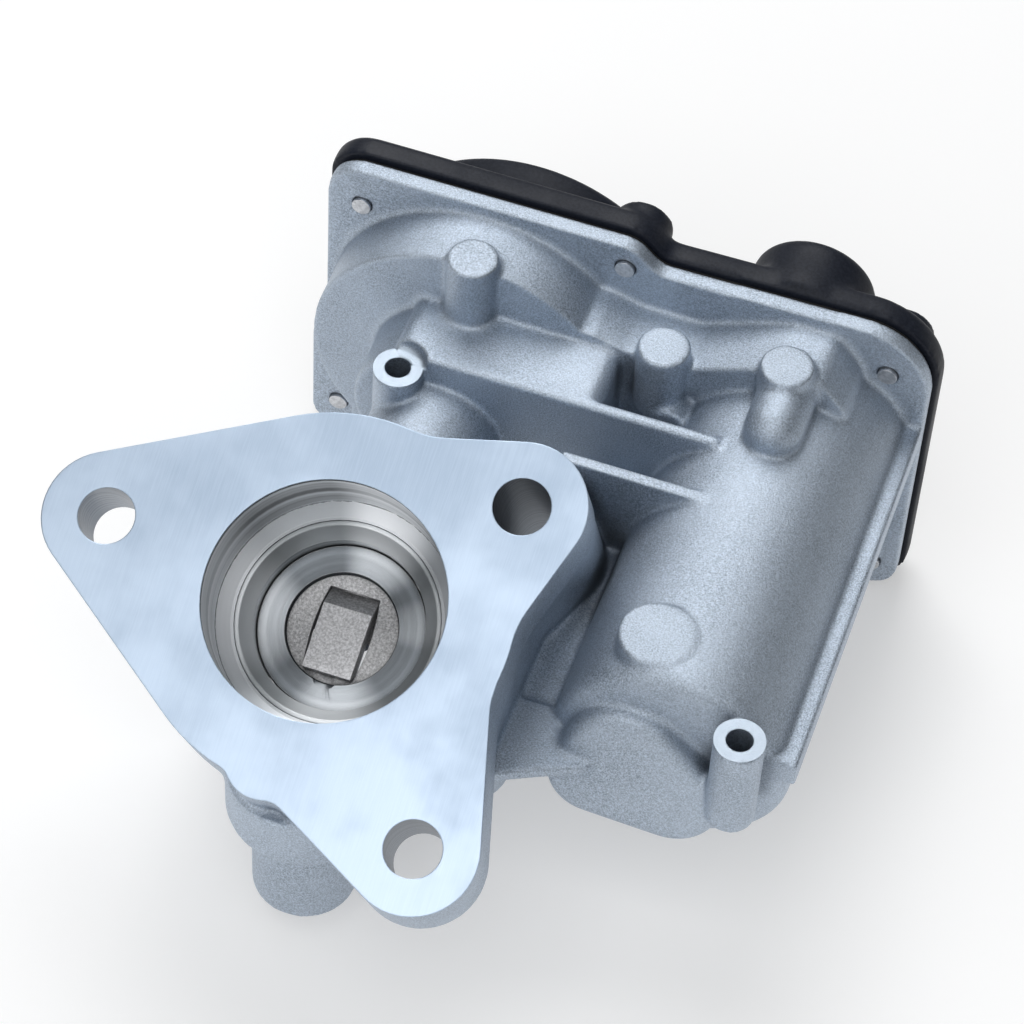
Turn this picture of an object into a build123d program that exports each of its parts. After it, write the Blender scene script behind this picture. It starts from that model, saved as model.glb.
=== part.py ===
"""Exhaust gas recirculation valve with a flap on an inclined shaft and a geared motor drive.

Frame: the origin is the centre of the inlet bore on the machined flange face, +X runs along
the top edge of the gear case plate, +Y is the direction of the motor, gear and flap axes,
towards the cover, and +Z is up. The flange face leans 25 degrees towards -Y. Sizes in mm.
"""

import os
from math import acos, atan2, cos, hypot, pi, radians, sin, sqrt, tan

from build123d import *

# Flange: a three-eared face, its normal leaning from +Z towards -Y
TILT = 25.0
FLANGE_THICKNESS = 12.5
FLANGE_CORE_R = 29.6
FLANGE_WAIST_R = 26.4
FLANGE_BUMP = (-0.5, -25.6)
FLANGE_BUMP_R = 6.4
EAR_R = 10.2
BOLT_HOLE_R = 4.5
EAR_LEFT = (-36.5, 2.8)
EAR_RIGHT = (24.3, 22.7)
EAR_LOWER = (25.2, -32.0)
HOLLOW_CORNERS = [(6.7, 28.8, 14), (29.2, 4.7, 14), (28.9, -6.2, 14), (2.4, -31.3, 4), (-5.9, -29.0, 3)]
COLUMN_DEPTH = 40.0
OUTLET_DEPTH = 46.0
DUCT_BODY_R = 23.5

# Inlet bore, steel sleeve and duct
BORE_R = 19.0
BORE_DEPTH = 13.2
SLEEVE_SEAT_R = 16.3
SLEEVE_TOP_DEPTH = 14.8
SLEEVE_END_DEPTH = 23.0
SLEEVE_BORE_R = 13.6
SLEEVE_LEAD_R = 15.4
SLEEVE_LEAD_DEPTH = 17.0
DUCT_R = 14.6
OUTLET_SOCKET_R = 15.6
OUTLET_SOCKET_DEPTH = 9.0
OUTLET_PCD_R = 19.2
OUTLET_SCREW_R = 2.5
OUTLET_SCREW_COUNT = 3
OUTLET_SCREW_DEPTH = 12.0

# Flap disc, its centre lies on both the duct axis and the shaft axis
FLAP_DEPTH = 21.1
DISC_THICKNESS = 3.0
DISC_R = 13.3
RING_GROOVE_R = 12.0
RING_GROOVE_WIDTH = 1.4
RING_OUTER_R = 13.53
RING_WIDTH = 1.3
RING_GAP = 0.4
SPOT_R = 9.0
SPOT_DEPTH = 1.0
TANG_HALF_WIDTH = 4.0
TANG_PROUD = 0.5
TANG_LOW = -7.5
TANG_RIDGE = 3.2
TANG_HIGH = 6.2
TANG_BEVEL_DROP = 2.6
SLOT_CLEARANCE = 0.06
SLOT_BULGE = 0.75
HUB_R = 5.2
HUB_LENGTH = 9.0
SHAFT_TIP_R = 3.0
SHAFT_TIP_END = 15.0
FIT = 0.02
SOFT_GAP = 0.3

# Flap shaft and its seats in the housing
SHAFT_R = 4.0
SHAFT_Z = -FLAP_DEPTH * cos(radians(TILT))
SHAFT_REAR_Y = 76.0
SHAFT_BOSS_R = 11.0
SHAFT_PASSAGE_R = 4.6
FRONT_BUSH = (30.0, 41.0)
BUSH_R = 5.6
SEAL_Y = (42.0, 46.5)
SEAL_R = 7.0
REAR_BUSH = (47.5, 56.5)
REAR_BUSH_R = 7.0
SPRING_POCKET = (57.0, 69.0)
SPRING_POCKET_R = 11.4
SPRING_BOSS_R = 15.4
SPRING_WIRE_R = 0.75
SPRING_MEAN_R = 9.9
SPRING_PITCH = 1.7
SPRING_TURNS = 5.0
GEAR_HUB_R = 7.0

# Motor can of the casting
MOTOR_X = 54.8
MOTOR_Z = -21.0
CAN_R = 19.0
CAN_FRONT_Y = 5.2
MOTOR_CAVITY_Y = 8.8
CAN_END_FILLET = 2.6
VALLEY_Z = -21.6

# Boss on the can's end, its front face leans back to the top; circles (x, up the face, radius)
END_BOSS = [(48.9, -21.4, 10.2), (43.8, -26.3, 7.0), (56.5, -25.3, 8.5)]
END_BOSS_TOP = (2.7, -10.6)
END_BOSS_FOOT = (-3.0, -33.0)
END_BOSS_FILLET = 2.2

# Gear case, plate and cover
WALL = 2.6
FLOOR_FRONT_Y = 65.5
FLOOR_REAR_Y = FLOOR_FRONT_Y + WALL
PLATE_FRONT_Y = 76.0
PLATE_REAR_Y = 79.0
BULGE_R = 26.5
GASKET_THICKNESS = 0.5
GASKET_INSET = 0.6
COVER_SEAT_Y = PLATE_REAR_Y + GASKET_THICKNESS
COVER_RIM = 4.6
COVER_OVERHANG = 0.9
COVER_WALL = 2.2
DOME_REAR_Y = 91.0
DOME_GEAR = (3.5, -20.2, 27.4)
DOME_MOTOR = (51.5, -2.6, 10.4)
DOME_MOTOR_LOW = (54.0, -20.0, 12.0)
COVER_SCREWS = [(-22.0, 2.0), (23.0, 4.9), (67.8, -2.6), (70.4, -50.4), (18.0, -53.4), (-25.6, -49.6)]
SCREW_R = 1.6
SCREW_HEAD_R = 3.2
SCREW_BOSS_R = 4.4
SCREW_HEAD_GAP = 0.6
COLLAR_WALL = 1.2
COLLAR_PROUD = 0.4
SCREW_HEAD_H = 2.4
SCREW_TIP_PROUD = 0.5
ROOF_Y = COVER_SEAT_Y + COVER_RIM

# Sensor board, terminals and connector in the cover
BOARD_Y = (82.0, 83.4)
BOARD_POSTS = [(-11.5, -21.0), (9.5, -12.0)]
TERMINAL_COUNT = 5
TERMINAL_PITCH = 3.6
TERMINAL_SIDE = 0.8
TERMINAL_Y = (81.5, 99.0)
CONNECTOR = (14.0, -41.0)
CONNECTOR_SIZE = (25.0, 12.5)
CONNECTOR_REAR_Y = 104.0

# Cast mounting posts and lug
POST_R = 4.0
POST_HOLE_R = 2.1
SPOT_FACE_R = 4.5
POST_HOLE_DEPTH = 8.0
POST_TOP_Z = -5.0
POST_FOOT_Z = -24.5
LEDGE_Y = 5.0
POST_NEAR = (66.2, 1.2)
POST_FAR = (-6.6, 51.2)
LOBE = (54.2, -0.6)
LOBE_Y = 57.2
LOBE_R = 4.8
LUG = (3.2, -16.0)
LUG_R = 8.4
LUG_END_Z = -51.0
LUG_ROOT_R = 12.4
LUG_ROOT_Z = -30.0
LUG_HOLE_R = 3.4
LUG_HOLE_DEPTH = 16.0

# Gear train
PRESSURE_ANGLE = radians(20)
OUTPUT_MODULE = 1.0
OUTPUT_TEETH = 45
PINION_TEETH = 17
OUTPUT_SHIFT = 0.2
WHEEL_MODULE = 0.7
WHEEL_TEETH = 62
MOTOR_TEETH = 13
WHEEL_SHIFT = 0.35
FLANK_RELIEF = 0.05
OUTPUT_GEAR_Y = (70.2, 75.0)
SMALL_PINION_Y = (69.4, 75.8)
WHEEL_Y = (76.3, 80.6)
MOTOR_PINION_Y = (75.2, 81.2)
FLAP_TRAVEL = 80.0
PIN_R = 2.5

# Motor
MOTOR_CASE_R = 16.2
MOTOR_CASE_WALL = 1.2
MOTOR_CASE_Y = (10.2, 64.4)
MOTOR_NOSE_R = 5.0
MOTOR_NOSE_Y = 7.4
NOSE_GAP = 0.5
MOTOR_SHAFT_R = 1.6
MOTOR_SHAFT_Y = (8.6, 81.6)
CORE_R = 11.9
CORE_Y = (20.0, 46.0)
CORE_SLOTS = 7
MAGNET_INNER_R = 12.5
MAGNET_Y = (16.0, 50.0)
COMMUTATOR_R = 4.6
COMMUTATOR_Y = (52.5, 59.0)
MOTOR_SCREW_ANGLES = (155.0, -70.0)
MOTOR_SCREW_PCR = 20.4

NORMAL = Vector(0, -sin(radians(TILT)), cos(radians(TILT)))
FLANGE = Plane(origin=(0, 0, 0), x_dir=(1, 0, 0), z_dir=NORMAL)
FLAP = FLANGE.offset(-FLAP_DEPTH)
FLAP_Y = FLAP_DEPTH * sin(radians(TILT))
END_BOSS_LEAN = atan2(END_BOSS_TOP[0] - END_BOSS_FOOT[0], END_BOSS_TOP[1] - END_BOSS_FOOT[1])
END_BOSS_FACE = Plane(origin=(0, END_BOSS_FOOT[0] + END_BOSS_FOOT[1] * tan(-END_BOSS_LEAN), 0), x_dir=(1, 0, 0),
                      z_dir=(0, -cos(END_BOSS_LEAN), sin(END_BOSS_LEAN)))


def facing(y):
    """Plane square to Y at the given y, its local axes are X and Z and its normal is -Y."""
    return Plane.XZ.offset(-y)


def span(y_range):
    """Length of a (front, rear) range, negative so that an extrusion from the front goes to +Y."""
    return y_range[0] - y_range[1]


def ear_outline(centre, radius, root_r):
    """Flange ear: the hull of a round ear and the flange's round core."""
    with BuildSketch() as ear:
        Circle(root_r)
        with Locations(centre):
            Circle(radius)
        make_hull()
    return ear.sketch


def flange_outline():
    """Outline of the flange face: core, three ears and a small bump, with rounded hollows."""
    with BuildSketch() as outline:
        Circle(FLANGE_CORE_R)
        add(ear_outline(EAR_LEFT, EAR_R, FLANGE_CORE_R))
        add(ear_outline(EAR_RIGHT, EAR_R, FLANGE_WAIST_R))
        add(ear_outline(EAR_LOWER, EAR_R, FLANGE_WAIST_R))
        with Locations(FLANGE_BUMP):
            Circle(FLANGE_BUMP_R)
        for u, w, radius in HOLLOW_CORNERS:
            fillet(outline.vertices().sort_by_distance((u, w))[0], radius)
    return outline.sketch


def rounded_outline(corners):
    """Closed outline through (x, z, radius) corners, each corner rounded by its own radius."""
    with BuildSketch() as outline:
        with BuildLine():
            Polyline(*[(x, z) for x, z, _ in corners], close=True)
        make_face()
        for x, z, radius in corners:
            if radius:
                fillet(outline.vertices().sort_by_distance((x, z))[0], radius)
    return outline.sketch


def hull_of(*circles):
    """Outline that wraps (x, z, radius) circles."""
    with BuildSketch() as outline:
        for x, z, radius in circles:
            with Locations((x, z)):
                Circle(radius)
        if len(circles) > 1:
            make_hull()
    return outline.sketch


def tooth_half_angle(radius, module, teeth, shift):
    """Half the angular width of an involute tooth at a radius."""
    pitch = module * teeth / 2
    base = pitch * cos(PRESSURE_ANGLE)
    at_pitch = (pi / 2 + 2 * shift * tan(PRESSURE_ANGLE)) / teeth - FLANK_RELIEF / pitch
    flank = acos(min(1.0, base / radius))
    return at_pitch + tan(PRESSURE_ANGLE) - PRESSURE_ANGLE - (tan(flank) - flank)


def polar(radius, angle):
    """Point at a radius and an angle in radians."""
    return (radius * cos(angle), radius * sin(angle))


def gear_outline(module, teeth, shift, phase, first=0, last=None):
    """Involute gear with a tooth centred on phase; first and last limit a sector's teeth."""
    pitch = module * teeth / 2
    tip = pitch + (1 + shift) * module
    root = pitch - (1.25 - shift) * module
    foot = max(root + 0.02, pitch * cos(PRESSURE_ANGLE) + 0.01)
    middle = (foot + tip) / 2
    half = {r: tooth_half_angle(r, module, teeth, shift) for r in (foot, middle, tip)}
    last = teeth - 1 if last is None else last
    step = 2 * pi / teeth
    with BuildSketch() as gear:
        with BuildLine():
            for number in range(first, last + 1):
                centre = phase + number * step
                rise = [polar(foot, centre - half[foot]), polar(middle, centre - half[middle]),
                        polar(tip, centre - half[tip])]
                fall = [polar(tip, centre + half[tip]), polar(middle, centre + half[middle]),
                        polar(foot, centre + half[foot])]
                Line(polar(root, centre - half[foot]), rise[0])
                ThreePointArc(*rise)
                ThreePointArc(rise[2], polar(tip, centre), fall[0])
                ThreePointArc(*fall)
                Line(fall[2], polar(root, centre + half[foot]))
                if last - first == teeth - 1 or number < last:
                    ThreePointArc(polar(root, centre + half[foot]), polar(root, centre + step / 2),
                                  polar(root, centre + step - half[foot]))
            if last - first < teeth - 1:
                start = phase + first * step - half[foot]
                stop = phase + last * step + half[foot]
                Line(polar(root, stop), (0, 0))
                Line((0, 0), polar(root, start))
        make_face()
    return gear.sketch


# Positions of the three gear axes in the X Z plane
OUTPUT_AXIS = (0.0, SHAFT_Z)
MOTOR_AXIS = (MOTOR_X, MOTOR_Z)
OUTPUT_REACH = OUTPUT_MODULE * (OUTPUT_TEETH + PINION_TEETH) / 2
MOTOR_REACH = WHEEL_MODULE * (WHEEL_TEETH + MOTOR_TEETH) / 2
AXIS_GAP = hypot(MOTOR_X, MOTOR_Z - SHAFT_Z)
ALONG = (OUTPUT_REACH**2 - MOTOR_REACH**2 + AXIS_GAP**2) / (2 * AXIS_GAP)
BELOW = sqrt(OUTPUT_REACH**2 - ALONG**2)
UNIT = (MOTOR_X / AXIS_GAP, (MOTOR_Z - SHAFT_Z) / AXIS_GAP)
PIN_AXIS = (ALONG * UNIT[0] + BELOW * UNIT[1], SHAFT_Z + ALONG * UNIT[1] - BELOW * UNIT[0])
OUTPUT_TO_PIN = atan2(PIN_AXIS[1] - SHAFT_Z, PIN_AXIS[0])
PIN_TO_MOTOR = atan2(MOTOR_Z - PIN_AXIS[1], MOTOR_X - PIN_AXIS[0])
OUTPUT_ROOT_R = OUTPUT_MODULE * (OUTPUT_TEETH / 2 - 1.25 - OUTPUT_SHIFT)

# Outlines of the gear case and the plate, as (x, z, corner radius)
CASE_CORNERS = [(0, SHAFT_Z, 0), (20, -0.6, 3), (27, -2.6, 4), (37, -2.7, 5), (47, 1.6, 5), (52, 3.4, 3),
                (59, 3.4, 4), (63.4, -1.8, 3), (67, -14.3, 5), (71, -26.4, 5), (71.4, -53.8, 6),
                (-8, -53.8, 5), (-20, -38, 0)]
PLATE_CORNERS = [(-28, 9.7, 6), (24.2, 9.7, 5), (28.6, 5.3, 4), (74.9, 6.4, 12), (74.9, -56.2, 5),
                 (-30.5, -56.2, 4), (-30.5, -33, 4), (-28, -24, 4)]


def case_outline():
    """Outer outline of the gear case: bulge round the output gear, lobe round the motor."""
    with BuildSketch() as outline:
        add(rounded_outline(CASE_CORNERS))
        with Locations(OUTPUT_AXIS):
            Circle(BULGE_R)
        with Locations(MOTOR_AXIS):
            Circle(CAN_R)
    return outline.sketch


FLANGE_OUTLINE = flange_outline()
CASE = case_outline()
CASE_CAVITY = offset(CASE, amount=-WALL)
PLATE = rounded_outline(PLATE_CORNERS)
GASKET = offset(PLATE, amount=-GASKET_INSET)
COVER = offset(PLATE, amount=COVER_OVERHANG)
DOME_GEAR_OUTLINE = hull_of(DOME_GEAR)
DOME_MOTOR_OUTLINE = hull_of(DOME_MOTOR, DOME_MOTOR_LOW)
DOME_HOLLOWS = [offset(outline, amount=-COVER_WALL) for outline in (DOME_GEAR_OUTLINE, DOME_MOTOR_OUTLINE)]


# Housing casting with flange, duct, motor can and gear case
with BuildPart() as valve_housing:
    # motor can and end boss, with rounded ends
    with BuildSketch(facing(CAN_FRONT_Y)):
        with Locations(MOTOR_AXIS):
            Circle(CAN_R)
    extrude(amount=CAN_FRONT_Y - FLOOR_REAR_Y)
    fillet(valve_housing.edges().sort_by(Axis.Y)[0], CAN_END_FILLET)
    with BuildSketch(END_BOSS_FACE):
        add(hull_of(*END_BOSS))
    extrude(amount=CAN_FRONT_Y - END_BOSS_FOOT[0] + 1, dir=(0, 1, 0))
    fillet(valve_housing.faces().sort_by(Axis.Y)[0].edges(), END_BOSS_FILLET)
    # flange
    with BuildSketch(FLANGE):
        add(FLANGE_OUTLINE)
    extrude(amount=-FLANGE_THICKNESS)
    # column under the right side of the flange, down to the outlet
    with BuildSketch(FLANGE):
        Circle(DUCT_BODY_R)
        add(ear_outline(EAR_RIGHT, EAR_R - 0.3, DUCT_BODY_R))
        with Locations((FLANGE_CORE_R - 12.3, 1)):
            RectangleRounded(24, 36, 6)
    extrude(amount=-COLUMN_DEPTH)
    with BuildSketch(FLANGE.offset(-COLUMN_DEPTH)):
        Circle(DUCT_BODY_R)
    extrude(amount=COLUMN_DEPTH - OUTLET_DEPTH)
    # lug and its root
    for radius, low in ((LUG_ROOT_R, LUG_ROOT_Z), (LUG_R, LUG_END_Z)):
        with BuildSketch(Plane.XY.offset(low)):
            with Locations(LUG):
                Circle(radius)
        extrude(amount=-20 - low)
    # shaft boss, spring boss and the middle block behind the first web
    with BuildSketch(facing(18)):
        with Locations(OUTPUT_AXIS):
            Circle(SHAFT_BOSS_R)
    extrude(amount=18 - FLOOR_REAR_Y)
    with BuildSketch(facing(54.5)):
        with Locations(OUTPUT_AXIS):
            Circle(SPRING_BOSS_R)
    extrude(amount=54.5 - FLOOR_REAR_Y)
    with BuildSketch(facing(52.5)):
        with Locations((9, -19)):
            RectangleRounded(35, 32, 3)
    extrude(amount=52.5 - FLOOR_REAR_Y)
    # floor between the column and the can, and the thin web at its open end
    with BuildSketch(Plane.XY.offset(VALLEY_Z - 4.5)):
        with Locations((32.5, 30)):
            Rectangle(17, 50)
    extrude(amount=4.5)
    with BuildSketch(Plane.XY.offset(VALLEY_Z - 1.6)):
        with BuildLine():
            Polyline((24, -7.6), (30, -7.6), (37, -4.0), (44, -1.0), (44, 8), (24, 8), close=True)
        make_face()
    extrude(amount=2.4)
    # webs between the block, the column and the can
    for x_low, x_high, y_low, top in ((-6, 46.5, 52.5, -2.9), (24, 48, 41.2, -3.2)):
        with BuildSketch(facing(y_low)):
            with Locations(((x_low + x_high) / 2, (top - 34) / 2)):
                Rectangle(x_high - x_low, top + 34)
        extrude(amount=-2.2)
    # ledge along the outer side of the can and the buttress of the near post
    with BuildSketch(facing(LEDGE_Y)):
        with Locations((71.9, -15.6)):
            Rectangle(6.0, 5.2)
    extrude(amount=LEDGE_Y - PLATE_FRONT_Y)
    with BuildSketch(Plane.XY.offset(POST_FOOT_Z)):
        with Locations((POST_NEAR[0], 4.8)):
            Rectangle(5, 6)
    extrude(amount=14)
    # posts
    for centre, low in ((POST_NEAR, POST_FOOT_Z), (POST_FAR, SHAFT_Z)):
        with BuildSketch(Plane.XY.offset(low)):
            with Locations(centre):
                Circle(POST_R)
        extrude(amount=POST_TOP_Z - low)
    # spot face that clears the web's end over the far post
    with BuildSketch(Plane.XY.offset(POST_TOP_Z)):
        with Locations(POST_FAR):
            Circle(SPOT_FACE_R)
    extrude(amount=-POST_TOP_Z, mode=Mode.SUBTRACT)
    # gear case and plate
    with BuildSketch(facing(FLOOR_FRONT_Y)):
        add(CASE)
    extrude(amount=FLOOR_FRONT_Y - PLATE_REAR_Y)
    with BuildSketch(facing(PLATE_FRONT_Y)):
        add(PLATE)
    extrude(amount=PLATE_FRONT_Y - PLATE_REAR_Y)
    # round pads on the case wall and the can
    for centre, radius, low, high in (((0.6, 65.6), 4.25, -4, 9.3), ((33.2, 65.6), 4.4, -12, 1.4),
                                      ((53.4, 65.6), 4.4, -10, 5.3), ((49.0, 13.5), 6.1, -8, -1.7)):
        with BuildSketch(Plane.XY.offset(low)):
            with Locations(centre):
                Circle(radius)
        extrude(amount=high - low)
    # round-nosed lobe under the right pad
    with BuildSketch(facing(LOBE_Y)):
        with Locations(LOBE):
            Circle(LOBE_R)
    extrude(amount=LOBE_Y - FLOOR_REAR_Y)
    with Locations((LOBE[0], LOBE_Y, LOBE[1])):
        Sphere(LOBE_R)
    # inlet bore, sleeve seat and duct
    with BuildSketch(FLANGE):
        Circle(BORE_R)
    extrude(amount=-BORE_DEPTH, mode=Mode.SUBTRACT)
    with BuildSketch(FLANGE.offset(-BORE_DEPTH)):
        Circle(BORE_R)
    with BuildSketch(FLANGE.offset(-SLEEVE_TOP_DEPTH)):
        Circle(SLEEVE_SEAT_R + 0.5)
    loft(mode=Mode.SUBTRACT)
    with BuildSketch(FLANGE.offset(-BORE_DEPTH)):
        Circle(SLEEVE_SEAT_R)
    extrude(amount=BORE_DEPTH - SLEEVE_END_DEPTH, mode=Mode.SUBTRACT)
    with BuildSketch(FLANGE.offset(-BORE_DEPTH)):
        Circle(DUCT_R)
    extrude(amount=BORE_DEPTH - OUTLET_DEPTH, mode=Mode.SUBTRACT)
    # socket of the outlet pipe
    with BuildSketch(FLANGE.offset(-OUTLET_DEPTH)):
        Circle(OUTLET_SOCKET_R)
    extrude(amount=OUTLET_SOCKET_DEPTH, mode=Mode.SUBTRACT)
    # flange bolt holes
    for ear, depth in ((EAR_LEFT, FLANGE_THICKNESS), (EAR_RIGHT, COLUMN_DEPTH), (EAR_LOWER, FLANGE_THICKNESS)):
        with BuildSketch(FLANGE):
            with Locations(ear):
                Circle(BOLT_HOLE_R)
        extrude(amount=-depth, mode=Mode.SUBTRACT)
    # threaded holes of the outlet face, the posts and the lug
    with BuildSketch(FLANGE.offset(-OUTLET_DEPTH)):
        with PolarLocations(OUTLET_PCD_R, OUTLET_SCREW_COUNT, start_angle=-90):
            Circle(OUTLET_SCREW_R)
    extrude(amount=OUTLET_SCREW_DEPTH, mode=Mode.SUBTRACT)
    with BuildSketch(Plane.XY.offset(POST_TOP_Z)):
        with Locations(POST_NEAR, POST_FAR):
            Circle(POST_HOLE_R)
    extrude(amount=-POST_HOLE_DEPTH, mode=Mode.SUBTRACT)
    with BuildSketch(Plane.XY.offset(LUG_END_Z)):
        with Locations(LUG):
            Circle(LUG_HOLE_R)
    extrude(amount=LUG_HOLE_DEPTH, mode=Mode.SUBTRACT)
    # shaft passage, bush, seal and spring seats
    for radius, y_range in ((SHAFT_PASSAGE_R, (18.0, 60.0)), (BUSH_R, (FRONT_BUSH[0], 60.0)),
                            (SEAL_R, (SEAL_Y[0], 60.0)), (SPRING_POCKET_R, SPRING_POCKET)):
        with BuildSketch(facing(y_range[0])):
            with Locations(OUTPUT_AXIS):
                Circle(radius)
        extrude(amount=span(y_range), mode=Mode.SUBTRACT)
    # motor cavity and its nose seat
    for radius, y_range in ((MOTOR_NOSE_R + SOFT_GAP, (MOTOR_NOSE_Y - NOSE_GAP, MOTOR_CASE_Y[0])),
                            (CAN_R - WALL, (MOTOR_CAVITY_Y, 70.0))):
        with BuildSketch(facing(y_range[0])):
            with Locations(MOTOR_AXIS):
                Circle(radius)
        extrude(amount=span(y_range), mode=Mode.SUBTRACT)
    # gear case cavity, with the pin boss and the stop left standing
    with BuildSketch(facing(FLOOR_REAR_Y)):
        add(CASE_CAVITY)
    extrude(amount=FLOOR_REAR_Y - PLATE_REAR_Y, mode=Mode.SUBTRACT)
    with BuildSketch(facing(FLOOR_FRONT_Y - 5)):
        with Locations(PIN_AXIS):
            Circle(5.4)
    extrude(amount=span((FLOOR_FRONT_Y - 5, FLOOR_REAR_Y + 0.7)))
    with BuildSketch(facing(FLOOR_FRONT_Y - 4)):
        with Locations(PIN_AXIS):
            Circle(PIN_R)
    extrude(amount=span((FLOOR_FRONT_Y - 4, PLATE_REAR_Y)), mode=Mode.SUBTRACT)
    # motor screw bosses and holes
    with BuildSketch(facing(FLOOR_FRONT_Y - 5)):
        with Locations(MOTOR_AXIS):
            for angle in MOTOR_SCREW_ANGLES:
                with Locations(polar(MOTOR_SCREW_PCR, radians(angle))):
                    Circle(3.6)
    extrude(amount=-5 - WALL)
    with BuildSketch(facing(MOTOR_CAVITY_Y)):
        with Locations(MOTOR_AXIS):
            Circle(CAN_R - WALL)
    extrude(amount=span((MOTOR_CAVITY_Y, 70.0)), mode=Mode.SUBTRACT)
    with BuildSketch(facing(FLOOR_FRONT_Y - 3.5)):
        with Locations(MOTOR_AXIS):
            for angle in MOTOR_SCREW_ANGLES:
                with Locations(polar(MOTOR_SCREW_PCR, radians(angle))):
                    Circle(SCREW_R)
    extrude(amount=-8, mode=Mode.SUBTRACT)
    # cover screw holes through the plate
    with BuildSketch(facing(PLATE_FRONT_Y - SCREW_TIP_PROUD)):
        with Locations(*COVER_SCREWS):
            Circle(SCREW_R)
    extrude(amount=span((PLATE_FRONT_Y - SCREW_TIP_PROUD, PLATE_REAR_Y)), mode=Mode.SUBTRACT)
valve_housing.part.label = "valve_housing"

# Steel sleeve the flap closes in
with BuildPart() as seat_sleeve:
    with BuildSketch(FLANGE.offset(-SLEEVE_END_DEPTH)):
        Circle(SLEEVE_SEAT_R)
    extrude(amount=SLEEVE_END_DEPTH - SLEEVE_TOP_DEPTH)
    with BuildSketch(FLANGE.offset(-SLEEVE_END_DEPTH)):
        Circle(SLEEVE_BORE_R)
    extrude(amount=SLEEVE_END_DEPTH - SLEEVE_TOP_DEPTH, mode=Mode.SUBTRACT)
    with BuildSketch(FLANGE.offset(-SLEEVE_LEAD_DEPTH)):
        Circle(SLEEVE_BORE_R)
    with BuildSketch(FLANGE.offset(-SLEEVE_TOP_DEPTH)):
        Circle(SLEEVE_LEAD_R)
    loft(mode=Mode.SUBTRACT)
seat_sleeve.part.label = "seat_sleeve"

# Flap disc with ring groove, round spot and slot for the shaft's tang
FACE = DISC_THICKNESS / 2
SLOT_X = TANG_HALF_WIDTH + SLOT_CLEARANCE
SLOT_LOW = TANG_LOW - SLOT_CLEARANCE
SLOT_HIGH = TANG_HIGH + SLOT_CLEARANCE
with BuildPart() as flap_disc:
    with BuildSketch(FLAP.offset(-FACE)):
        Circle(DISC_R)
    extrude(amount=DISC_THICKNESS)
    with BuildSketch(facing(FLAP_Y)):
        with Locations(OUTPUT_AXIS):
            Circle(HUB_R)
    extrude(amount=-HUB_LENGTH)
    with BuildSketch(FLAP.offset(FACE)):
        Circle(DISC_R + 5)
    extrude(amount=HUB_R * 2, mode=Mode.SUBTRACT)
    with BuildSketch(FLAP.offset(-RING_GROOVE_WIDTH / 2)):
        Circle(DISC_R + 1)
        Circle(RING_GROOVE_R, mode=Mode.SUBTRACT)
    extrude(amount=RING_GROOVE_WIDTH, mode=Mode.SUBTRACT)
    with BuildSketch(FLAP.offset(FACE - SPOT_DEPTH)):
        Circle(SPOT_R)
    extrude(amount=SPOT_DEPTH, mode=Mode.SUBTRACT)
    with BuildSketch(FLAP.offset(-FACE)):
        with BuildLine():
            Line((-SLOT_X, SLOT_LOW), (SLOT_X, SLOT_LOW))
            ThreePointArc((SLOT_X, SLOT_LOW), (SLOT_X + SLOT_BULGE, -1), (SLOT_X, SLOT_HIGH))
            Line((SLOT_X, SLOT_HIGH), (-SLOT_X, SLOT_HIGH))
            ThreePointArc((-SLOT_X, SLOT_HIGH), (-SLOT_X - SLOT_BULGE, -1), (-SLOT_X, SLOT_LOW))
        make_face()
    extrude(amount=DISC_THICKNESS, mode=Mode.SUBTRACT)
    with BuildSketch(facing(FLAP_Y - DISC_R)):
        with Locations(OUTPUT_AXIS):
            Circle(SHAFT_TIP_R + FIT)
    extrude(amount=-4 * DISC_R, mode=Mode.SUBTRACT)
flap_disc.part.label = "flap_disc"

# Split sealing ring in the disc's rim
with BuildPart() as flap_seal_ring:
    with BuildSketch(FLAP.offset(-RING_WIDTH / 2)):
        Circle(RING_OUTER_R)
        Circle(RING_GROOVE_R + 0.1, mode=Mode.SUBTRACT)
        with Locations((-RING_OUTER_R, 0)):
            Rectangle(4, RING_GAP, mode=Mode.SUBTRACT)
    extrude(amount=RING_WIDTH)
flap_seal_ring.part.label = "flap_seal_ring"

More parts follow.
